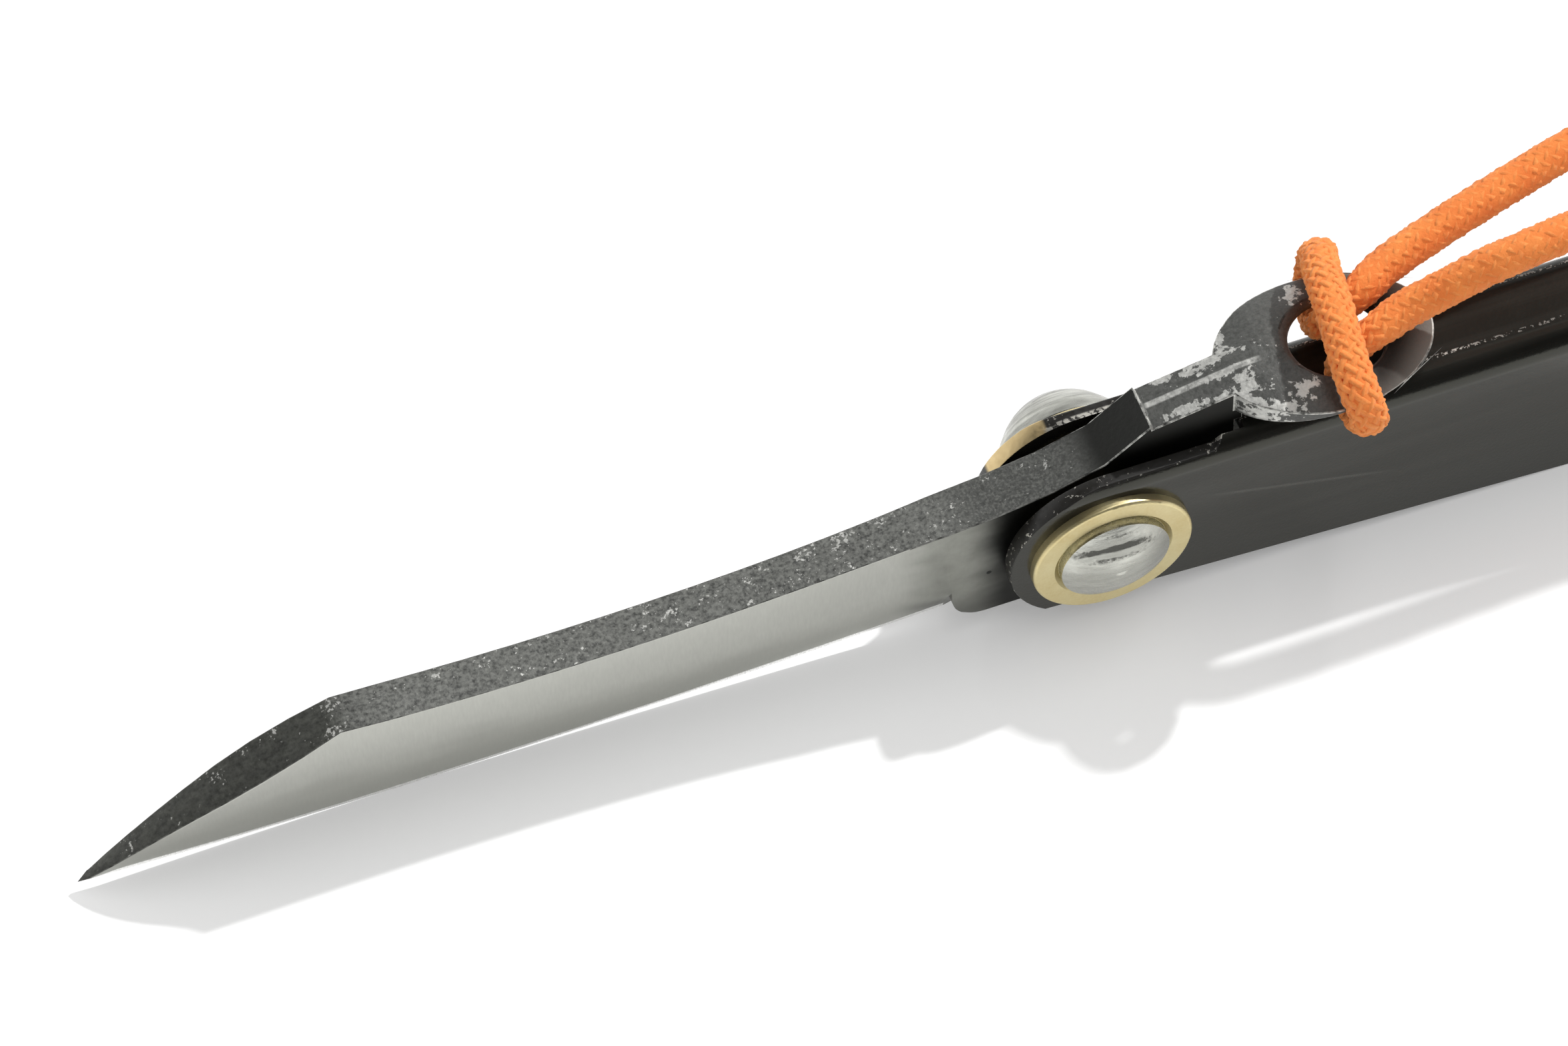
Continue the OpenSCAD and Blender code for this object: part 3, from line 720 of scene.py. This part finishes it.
# the painted dark reflection in the middle of a head
def headDarkReflection(tree, x, z, streaks, fine):
    look = rivetLook
    across, above = [
        calc(tree, "DIVIDE", minus(tree, value, (pivot + middle) * mm), reach * mm)
        for value, pivot, middle, reach in zip((x, z), (pivotX, pivotZ), look["darkReflectionAt"], look["darkReflectionReach"])]
    square = times(tree, across, across)
    bow = plus(tree, above, times(tree, square, look["darkReflectionBow"]))
    outward = plus(tree, square, times(tree, bow, bow),
                   times(tree, minus(tree, fine, 0.5), look["darkReflectionRagged"]))
    wave = plus(tree, times(tree, bow, look["arcs"]), times(tree, streaks, look["arcWaver"]))
    return times(tree, mapValue(tree, outward, *look["darkReflectionEdge"], 0.0, 1.0, True),
                 mapValue(tree, calc(tree, "SINE", wave), *look["arcShare"], True))


def concentricMarks(tree, place, x, y):
    look = rivetLook
    outward = distance(tree, stretched(tree, place, (1.0, 0.0, 1.0)), (pivotX, 0.0, pivotZ))
    rings = addNode(tree, "ShaderNodeCombineXYZ", {
        "X": outward, "Y": times(tree, x, look["markWaver"]), "Z": 0.0}).outputs["Vector"]
    return times(tree, mottleValue(tree, rings, look["marks"]),
                 ramp(tree, y, look["farHead"], (0.0, look["markShare"])))


def makeRivetSteel():
    look = rivetLook
    material, tree, shader = newMaterial("rivetSteel", {"Metallic": 1.0})
    place = objectPlace(tree)
    x, y, z = placeParts(tree, place)
    streaks = mottleValue(tree, stretched(tree, place, look["streakStretch"], look["streakTurn"]),
                          look["streaks"])
    fine = mottleValue(tree, place, look["fine"])
    tone = cover(tree, look["light"], look["shade"], streaks, look["shadeShare"])
    tone = mixColor(tree, fade(tree, x, look["shadeFrom"], (0.0, look["rightShare"])), tone, look["shade"])
    # painted dark reflection on the heads
    darkReflection = headDarkReflection(tree, x, z, streaks, fine)
    tone = cover(tree, tone, look["darkReflection"], darkReflection, look["darkReflectionShare"])
    setInputs(tree, shader, {
        "Base Color": mixColor(tree, concentricMarks(tree, place, x, y), tone, look["markTone"]),
        "Roughness": plus(tree, between(tree, streaks, look["roughness"]),
                          times(tree, fine, look["fineRoughness"])),
        "Normal": bumpNormal(tree, streaks, *look["bump"])})
    return material


brassLook = {
    "tones": ((0.78, 0.68, 0.38, 1), (0.70, 0.58, 0.29, 1)),
    "shine": (0.9, 0.82, 0.55, 1),
    "shineShare": 0.25,
    "fine": (0.18, 3.0, 0.3, 0.7),
    "cloud": (2.0, 3.0, 0.3, 0.7),
    "roughness": (0.34, 0.46),
    "bump": (0.3, 0.008),
}


def makeBrass():
    look = brassLook
    material, tree, shader = newMaterial("paleBrass", {"Metallic": 0.9})
    place = objectPlace(tree)
    fine = mottleValue(tree, place, look["fine"])
    cloud = mottleValue(tree, place, look["cloud"])
    tone = mixColor(tree, cloud, *look["tones"])
    setInputs(tree, shader, {
        "Base Color": cover(tree, tone, look["shine"], fine, look["shineShare"]),
        "Roughness": between(tree, cloud, look["roughness"]),
        "Normal": bumpNormal(tree, fine, *look["bump"])})
    return material


cordLook = {
    "tones": ((0.92, 0.285, 0.06, 1), (0.80, 0.195, 0.034, 1)),
    "clothTint": (0.95, 0.42, 0.13, 1),
    "coreTint": (0.74, 0.18, 0.03, 1),
    "tintShare": 0.35,
    "sheen": {"Sheen Weight": 0.2, "Sheen Roughness": 0.5, "Sheen Tint": (1.0, 0.72, 0.45, 1)},
    "yarn": (0.14, 4.0, 0.3, 0.7),
    "cloud": (1.6, 3.0, 0.3, 0.7),
    "bump": (0.5, 0.03),
}


def makeCordCloth(name, tint):
    look = cordLook
    material, tree, shader = newMaterial(name, {"Roughness": 0.85, **look["sheen"]})
    place = objectPlace(tree)
    yarn = mottleValue(tree, place, look["yarn"])
    tone = mixColor(tree, mottleValue(tree, place, look["cloud"]), *look["tones"])
    setInputs(tree, shader, {
        "Base Color": cover(tree, tone, tint, yarn, look["tintShare"]),
        "Normal": bumpNormal(tree, yarn, *look["bump"])})
    return material


darkCoat = makeCoat()
sheetEdge = makeSheetEdge()
groundSteel = makeGround()
edgeSteel = makeEdgeSteel()
forgeScale = makeScale()
wornEdge = makeWornEdge()
rivetSteel = makeRivetSteel()
paleBrass = makeBrass()
cordCloth = makeCordCloth("cordCloth", cordLook["clothTint"])
cordCore = makeCordCloth("cordCore", cordLook["coreTint"])
print("materials made")


# Cord

# its middle line, in mm along and across from the pivot, and up: the part's own route, with the
# near strand up to 0.8 mm lower where its shadow falls beside the handle's
nearRoute = [(76, 7.4, 4.4), (73.5, 7.4, 4.4), (70.5, 7.4, 5.1), (67.3, 7, 6.9), (64, 6, 9.7),
             (60.7, 4.3, 13), (57.3, 2.2, 16.2), (53.5, 0.4, 18.8), (49.5, -0.5, 20.5),
             (45.5, -0.5, 21), (41, -0.6, 21.3), (36.5, -0.75, 21.5), (32, -0.85, 21.7),
             (28.5, -0.95, 21.5), (26.05, -1.05, 21.2), (23.6, -0.9, 20.45), (21.75, -0.75, 19.5),
             (20.1, -0.65, 18.75)]
hitchRoute = [(18.5, -0.7, 18.15), (16.8, -1.15, 17.75), (15.4, -1.3, 16.9), (14.95, -1.35, 16.05),
              (14.8, -1.65, 15.2), (14.8, -2.65, 14.6), (14.8, -3.75, 14.65), (14.85, -4.9, 15),
              (14.8, -5.45, 15.85), (14.6, -5.4, 16.8), (14.4, -4.8, 17.75), (14.35, -3.6, 18.4),
              (14.5, -2, 18.85), (14.75, 0, 19.15), (15, 1.9, 19.05), (15.35, 3.6, 18.6),
              (15.85, 5, 17.75), (16, 5.7, 16.75), (15.95, 5.75, 15.8), (15.65, 5.15, 14.95),
              (15.35, 4, 14.6), (15.1, 2.9, 14.65), (15, 2, 15.2), (15.05, 1.65, 16.05),
              (15.6, 1.6, 16.75), (17.2, 1.9, 17.6), (18.7, 2.65, 17.9)]
farRoute = [(20.05, 3.05, 18.2), (21.7, 3.45, 18.5), (23.35, 3.8, 18.85), (26.75, 4.45, 19.5),
            (29.15, 4.9, 19.9), (31.35, 5.25, 20.3), (35, 5.6, 20.7), (40, 5.9, 20.8),
            (45, 6.2, 20.2), (49.5, 6.6, 18.9), (54, 7.2, 16.7), (58, 7.9, 14), (62, 8.7, 10.7),
            (65.5, 9.3, 7.9), (69, 9.6, 5.8), (72.5, 9.7, 4.6), (76, 9.7, 4.4)]

cordSet = {
    "halvesMeet": (15.05, 1.65, 16.05),  # the point of the route, in the eyelet
    "diameter": 2.2,  # mm
    "pinch": 0.84,  # share of it where the hitch squeezes the cord
    "spread": 1.16,  # share of it that the cord spreads to there, along the plate
    "free": 1.11,  # share of it where nothing holds the cord
    "freeFrom": 15.7,  # mm along: the pinch ends here
    "easing": 2.2,  # mm from pinched to free
    "carriers": 8,  # yarns each way round
    "pitch": 6.0,  # mm along the cord for one turn of a yarn
    "yarnRadius": 0.25,
    "weave": 0.055,  # how far a yarn rises and dives
    "core": 1.0,  # radius of the filling, between the yarns' crests
    "coreSides": 6,
    "step": 0.12,  # mm between a yarn's points
    "cuts": 24,  # points between two of the route, before the even steps
    "pathStep": 5,  # points of the line from one of the declared path to the next
}


def finishPiece(name, bm, materials):
    mesh = bpy.data.meshes.new(name)
    bm.to_mesh(mesh)
    bm.free()
    for material in materials:
        mesh.materials.append(material)
    return addObject(name, mesh)


def smoothLine(points, step):
    # a smooth curve through the points, cut to even steps
    dense = []
    last = len(points) - 1
    for i in range(last):
        a, b = points[max(i - 1, 0)], points[i]
        c, d = points[i + 1], points[min(i + 2, last)]
        for k in range(cordSet["cuts"]):
            t = k / cordSet["cuts"]
            dense.append(0.5 * (2 * b + (c - a) * t + (2 * a - 5 * b + 4 * c - d) * t * t
                                + (3 * b - a - 3 * c + d) * t * t * t))
    dense.append(points[last].copy())
    length = sum((q - p).length for p, q in zip(dense, dense[1:]))
    count = max(2, round(length / step))
    gap = length / count
    even = [dense[0].copy()]
    travelled = 0.0
    for p, q in zip(dense, dense[1:]):
        piece = (q - p).length
        while travelled + piece >= gap * len(even) - 1e-9 and len(even) < count:
            even.append(p.lerp(q, (gap * len(even) - travelled) / piece))
        travelled += piece
    even.append(dense[-1].copy())
    return even, length


def carriedFrames(line):
    # two directions square to the line, carried along it without twist
    ahead = [(line[min(i + 1, len(line) - 1)] - line[max(i - 1, 0)]).normalized() for i in range(len(line))]
    side = ahead[0].orthogonal().normalized()
    frames = []
    for h in ahead:
        side = (side - side.dot(h) * h).normalized()
        frames.append((side, h.cross(side)))
    return frames


def addSpline(data, places, radii=None):
    spline = data.splines.new("POLY")
    spline.points.add(len(places) - 1)
    spline.points.foreach_set("co", [value for p in places for value in (*p, 1.0)])
    if radii:
        spline.points.foreach_set("radius", radii)


def yarnPlaces(line, frames, squeeze, way, start):
    # one yarn winds round the line, and rises and dives where it crosses the other set
    middle = cordSet["diameter"] / 2 - cordSet["yarnRadius"] - cordSet["weave"]
    places = []
    travelled = 0.0
    for i, (p, (u, v)) in enumerate(zip(line, frames)):
        if i:
            travelled += (p - line[i - 1]).length
        turn = 2 * math.pi * travelled / cordSet["pitch"]
        lift = middle + way * cordSet["weave"] * math.cos(cordSet["carriers"] * turn)
        angle = way * turn + start
        across = (u * math.cos(angle) + v * math.sin(angle)) * lift
        places.append(p + across * squeeze(p))
    return places


def braid(name, lines, squeeze):
    # each line becomes a core with two crossing sets of yarns round it
    core = bpy.data.curves.new(name + "Core", "CURVE")
    yarns = bpy.data.curves.new(name + "Yarns", "CURVE")
    count = cordSet["carriers"]
    for line in lines:
        frames = carriedFrames(line)
        middleLine = line[::2] + [line[-1]]
        addSpline(core, middleLine, [squeeze(p).y for p in middleLine])
        for way in (1, -1):
            for k in range(count):
                addSpline(yarns, yarnPlaces(line, frames, squeeze, way, 2 * math.pi * k / count))
    joined = bmesh.new()
    thicknesses = ((core, cordSet["core"], cordSet["coreSides"]), (yarns, cordSet["yarnRadius"], 0))
    for slot, (data, thick, sides) in enumerate(thicknesses):
        data.dimensions = "3D"
        data.bevel_depth = thick
        data.bevel_resolution = sides
        data.use_fill_caps = True
        holder = bpy.data.objects.new(name + "Curve", data)
        mesh = bpy.data.meshes.new_from_object(holder)
        before = len(joined.faces)
        joined.from_mesh(mesh)
        joined.faces.ensure_lookup_table()
        for face in joined.faces[before:]:
            face.material_index = slot
            face.smooth = True
        bpy.data.objects.remove(holder)
        bpy.data.meshes.remove(mesh)
    bmesh.ops.scale(joined, vec=(mm, mm, mm), verts=joined.verts)
    bmesh.ops.translate(joined, vec=(pivotX * mm, pivotY * mm, 0), verts=joined.verts)
    return finishPiece(name, joined, [cordCore, cordCloth])


def hitchSqueeze(p):
    # loose and full past the eyelet, pinched and spread where the cord is hitched
    ease = min(1, max(0, (p.x - cordSet["freeFrom"]) / cordSet["easing"]))
    pinch, spread = [cordSet[held] + (cordSet["free"] - cordSet[held]) * ease for held in ("pinch", "spread")]
    return Vector((spread, pinch, pinch))


def noSqueeze(p):
    return Vector((1.0, 1.0, 1.0))


knotSet = {
    "place": (76.0, 8.55, 4.4),  # mm, where the cord enters it
    "length": 6.6,
    "turns": 3,
    "radius": 3.08,
    "spread": 1.15,  # mm between the middle and each strand
    "tail": 4.0,
    "tailLeans": (-0.25, 0.2),  # mm up over a tail's length, near and far
    "tailParts": 0.35,  # mm outward over a tail's length
    "tailBefore": 0.5,  # mm before the knot where each tail begins, hidden in the coil
    "turnSteps": 24,
    "sinkSteps": 8,  # steps in which each end of the coil dives into it
    "sink": 0.5,  # share of the radius that it dives
}


def makeKnot():
    start = Vector(knotSet["place"])
    turnWidth = knotSet["length"] / knotSet["turns"]
    coil = []
    steps = knotSet["turnSteps"] * knotSet["turns"]
    sinkSteps = knotSet["sinkSteps"]
    for i in range(-sinkSteps, steps + sinkSteps + 1):
        share = min(max(i / steps, 0.0), 1.0)
        angle = 2 * math.pi * knotSet["turns"] * i / steps
        sunk = max(0, -i, i - steps) / sinkSteps
        reach = knotSet["radius"] * (1 - knotSet["sink"] * sunk)
        along = turnWidth / 2 + (knotSet["length"] - turnWidth) * share
        coil.append(start + Vector((along, reach * math.cos(angle), reach * math.sin(angle))))
    lines = [smoothLine(coil, cordSet["step"])[0]]
    for side, lean in zip((-1, 1), knotSet["tailLeans"]):
        inside = start + Vector((-knotSet["tailBefore"], side * knotSet["spread"], 0))
        mouth = inside + Vector((knotSet["length"] + knotSet["tailBefore"], 0, 0))
        tip = mouth + Vector((knotSet["tail"], side * knotSet["tailParts"], lean))
        lines.append(smoothLine([inside, mouth, tip], cordSet["step"])[0])
    return braid("lanyardKnot", lines, noSqueeze)


def makeCord():
    route = [Vector(p) for p in nearRoute + hitchRoute + farRoute]
    split = len(nearRoute) + hitchRoute.index(cordSet["halvesMeet"])
    halves = {
        "lanyardNear": (list(reversed(route[:split + 1])), ("lanyard_near_strand", "lanyard_hitch")),
        "lanyardFar": (route[split:], ("lanyard_far_strand",)),
    }
    for name, (points, nodes) in halves.items():
        line, length = smoothLine(points, cordSet["step"])
        piece = braid(name, [line], hitchSqueeze)
        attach(piece, "blade_lever")
        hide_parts(*nodes)
        print(name, "is", round(length, 1), "mm long")


knot = makeKnot()
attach(knot, "blade_lever")
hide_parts("lanyard_knot")
makeCord()
print("cord made")


# Metal pieces

def mergedCopy(node, nearest):
    bm = bmesh.new()
    bm.from_mesh(frame["nodes"][node].data)
    bmesh.ops.remove_doubles(bm, verts=bm.verts, dist=nearest * mm)
    bmesh.ops.dissolve_degenerate(bm, dist=nearest * mm, edges=bm.edges)
    bmesh.ops.dissolve_limit(bm, angle_limit=math.radians(0.2), verts=bm.verts, edges=bm.edges)
    return bm


def isSharp(edge, degrees):
    return len(edge.link_faces) == 2 and edge.calc_face_angle(0) > math.radians(degrees)


def roundEdges(bm, edges, offset):
    # unclamped: one tiny edge would else hold back the rounding everywhere
    return bmesh.ops.bevel(bm, geom=edges, offset=offset * mm, offset_type="OFFSET", affect="EDGES",
                           segments=2, profile=0.5, material=-1, clamp_overlap=False)["faces"]


def smoothPiece(name, bm, materials, degrees):
    bm.normal_update()
    for face in bm.faces:
        face.smooth = True
    for edge in bm.edges:
        edge.smooth = edge.calc_face_angle(0) < math.radians(degrees)
    piece = finishPiece(name, bm, materials)
    weighted = piece.modifiers.new("weighted", "WEIGHTED_NORMAL")
    weighted.keep_sharp = True
    weighted.weight = 60
    return piece


handleSet = {
    "nearest": 0.02,  # mm: closer points are merged
    "edge": 0.08,  # mm, rounding of the sheet's cut edges
    "sharp": 40,  # degrees: edges above this are rounded
    "halfWidth": 3.1,  # mm
    "channelHalf": 1.9,  # mm: the inside of the channel is nearer the middle than this
    "channelTop": 12.9,  # mm up
    "backFrom": (3.6, 12.1),  # mm along and up: the back, behind its slot
    "sideways": 0.9,  # a face whose normal points sideways more than this is a side
    "endways": 0.5,  # a face in the channel that points endways more is a cut end
}


def makeHandle():
    # the coat covers the sheet's faces, and its cut edges have a material of their own
    bm = mergedCopy("handle_shell", handleSet["nearest"])
    sharp = [edge for edge in bm.edges if isSharp(edge, handleSet["sharp"])]
    roundEdges(bm, sharp, handleSet["edge"])
    backX, backZ = handleSet["backFrom"]
    for face in bm.faces:
        middle = face.calc_center_median() / mm
        across = abs(middle.y - pivotY)
        inChannel = (across < handleSet["channelHalf"] and middle.z < handleSet["channelTop"]
                     and abs(face.normal.x) < handleSet["endways"])
        onBack = middle.x > backX and middle.z > backZ
        onSide = abs(face.normal.y) > handleSet["sideways"] or across >= handleSet["halfWidth"]
        face.material_index = 0 if inChannel or onBack or onSide else 1
    piece = smoothPiece("handleShell", bm, [darkCoat, sheetEdge], handleSet["sharp"])
    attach(piece, "handle")
    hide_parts("handle_shell")


bladeSet = {
    "nearest": 0.04,  # mm: closer points are merged
    "edge": 0.08,  # mm, rounding of the forging's edges
    "shortest": 0.03,  # mm: shorter edges stay as they are
    "sharp": 38,  # degrees: edges above this are rounded
    # places along are in mm from the pivot, heights in mm from the table
    "tip": -62.5,
    "belly": -43.24,
    "heel": -9.0,
    "tipLift": 0.7,  # height of the cutting edge at the tip and at the heel
    "heelLift": 1.15,
    "fineBevel": 0.42,  # height of the fine bevel
    "fineTo": -8.9,
    "edgeMargin": (-8.4, 0.8),  # edges before this place and as near the cutting edge stay sharp
    "heelEdges": (-10.2, -8.4, 10.8),  # edges from, to and below here stay sharp too
    "heelStep": (-9.6, -9.1),
    "leaning": (-14, -7, 10.95),  # side faces may lean more from, to and below here
    "sidesTo": (5.2, 12.8),  # along and up
    "leverFrom": -6,
    # how far a face's normal points sideways at least, on a side and where the sides lean
    "sideways": (0.75, 0.35),
    "stepFacing": 0.9,  # how far the normal of the heel's step points ahead at least
    "flat": 0.95,  # rounded faces that point along one axis more than this aren't worn
}


def edgeHeight(x):
    # height of the cutting edge
    belly = bladeSet["belly"]
    end = "tip" if x < belly else "heel"
    return bladeSet[end + "Lift"] * ((x - belly) / (bladeSet[end] - belly)) ** 2


def bladeSlot(face):
    # ground sides are 0, the fine bevel is 1, forged faces are 2
    middle = face.calc_center_median() / mm
    x, z = middle.x - pivotX, middle.z
    stepFrom, stepTo = bladeSet["heelStep"]
    leanFrom, leanTo, leanTop = bladeSet["leaning"]
    upright, leaning = bladeSet["sideways"]
    least = leaning if leanFrom < x < leanTo and z < leanTop else upright
    onStep = stepFrom < x < stepTo and face.normal.x < -bladeSet["stepFacing"]
    onSide = onStep or abs(face.normal.y) > least
    if not onSide or x >= bladeSet["sidesTo"][0] or z >= bladeSet["sidesTo"][1]:
        return 2
    return 1 if x < bladeSet["fineTo"] and z < edgeHeight(x) + bladeSet["fineBevel"] else 0


def isRounded(edge):
    if not isSharp(edge, bladeSet["sharp"]) or edge.calc_length() < bladeSet["shortest"] * mm:
        return False
    middle = (edge.verts[0].co + edge.verts[1].co) / 2 / mm
    x, z = middle.x - pivotX, middle.z
    cuttingTo, margin = bladeSet["edgeMargin"]
    heelFrom, heelTo, heelTop = bladeSet["heelEdges"]
    cutting = x < cuttingTo and z < edgeHeight(x) + margin
    heel = heelFrom < x < heelTo and z < heelTop
    return not cutting and not heel


def makeBlade():
    bm = mergedCopy("blade", bladeSet["nearest"])
    for face in bm.faces:
        face.material_index = bladeSlot(face)
    sharp = [edge for edge in bm.edges if isRounded(edge)]
    for face in roundEdges(bm, sharp, bladeSet["edge"]):
        onLever = face.calc_center_median().x / mm - pivotX > bladeSet["leverFrom"]
        if onLever or max(abs(value) for value in face.normal) < bladeSet["flat"]:
            face.material_index = 3
    piece = smoothPiece("forgedBlade", bm, [groundSteel, edgeSteel, forgeScale, wornEdge], bladeSet["sharp"])
    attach(piece, "blade_lever")
    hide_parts("blade")


makeHandle()
makeBlade()
print("handle and blade made")


def dressNode(node, material):
    mesh = frame["nodes"][node].data
    mesh.materials.clear()
    mesh.materials.append(material)


dressNode("pivot_rivet", rivetSteel)
for washer in ("near_washer", "far_washer", "near_spacer", "far_spacer"):
    dressNode(washer, paleBrass)
print("rivet and washers dressed")


# Stage

stageSet = {
    "floorSize": 3.0,  # m
    "floor": (0.86, 0.86, 0.855, 1),
    "lift": 0.165,  # extra white for the camera and for reflections
    # lamps: direction from the object, metres away, size, power
    "key": ((1.0, 0.42, 1.0), 1.2, (0.032, 0.032), 10.5),
    "strip": ((0.15, -0.07, 0.986), 0.5, (0.5, 0.03), 0.4),
    # the sky: even for matt faces, bright low down and behind for polished ones
    "skyLight": 0.62,
    "glow": 0.95,
    "glowHeight": (0.3, 0.68, 1.0, 0.05),
    "glowBehind": (-0.5, 0.25, 0.12, 1.0),
}


def makeFloor():
    bm = bmesh.new()
    bmesh.ops.create_grid(bm, x_segments=1, y_segments=1, size=stageSet["floorSize"] / 2)
    material, tree, shader = newMaterial("paper", {
        "Base Color": stageSet["floor"], "Roughness": 0.9, "Specular IOR Level": 0.1,
        "Emission Color": (1, 1, 1, 1)})
    path = addNode(tree, "ShaderNodeLightPath").outputs
    seen = larger(tree, path["Is Camera Ray"], path["Is Glossy Ray"])
    setInputs(tree, shader, {"Emission Strength": times(tree, seen, stageSet["lift"])})
    finishPiece("floor", bm, [material])


def makeLamp(name, ahead, away, size, power):
    data = bpy.data.lights.new(name, "AREA")
    data.energy = power
    data.shape = "RECTANGLE"
    data.size, data.size_y = size
    lamp = addObject(name, data)
    toward = Vector(ahead).normalized()
    lamp.location = toward * away
    lamp.rotation_euler = toward.to_track_quat("Z", "Y").to_euler()


def makeSky():
    world = bpy.data.worlds.new("studio")
    bpy.context.scene.world = world
    world.use_nodes = True
    tree = world.node_tree
    ray = addNode(tree, "ShaderNodeTexCoord").outputs["Generated"]
    y, z = placeParts(tree, ray, "YZ")
    glow = times(tree, mapValue(tree, z, *stageSet["glowHeight"], True),
                 mapValue(tree, y, *stageSet["glowBehind"], True), stageSet["glow"])
    path = addNode(tree, "ShaderNodeLightPath").outputs
    glossy = path["Is Glossy Ray"]
    light = plus(tree, times(tree, glossy, glow),
                 times(tree, minus(tree, 1.0, glossy), stageSet["skyLight"]))
    setInputs(tree, tree.nodes["Background"], {
        "Color": (1, 1, 1, 1), "Strength": larger(tree, light, path["Is Camera Ray"])})


makeFloor()
makeLamp("keyLamp", *stageSet["key"])
makeLamp("topStrip", *stageSet["strip"])
makeSky()
bpy.context.scene.view_settings.view_transform = "Standard"
print("stage set")
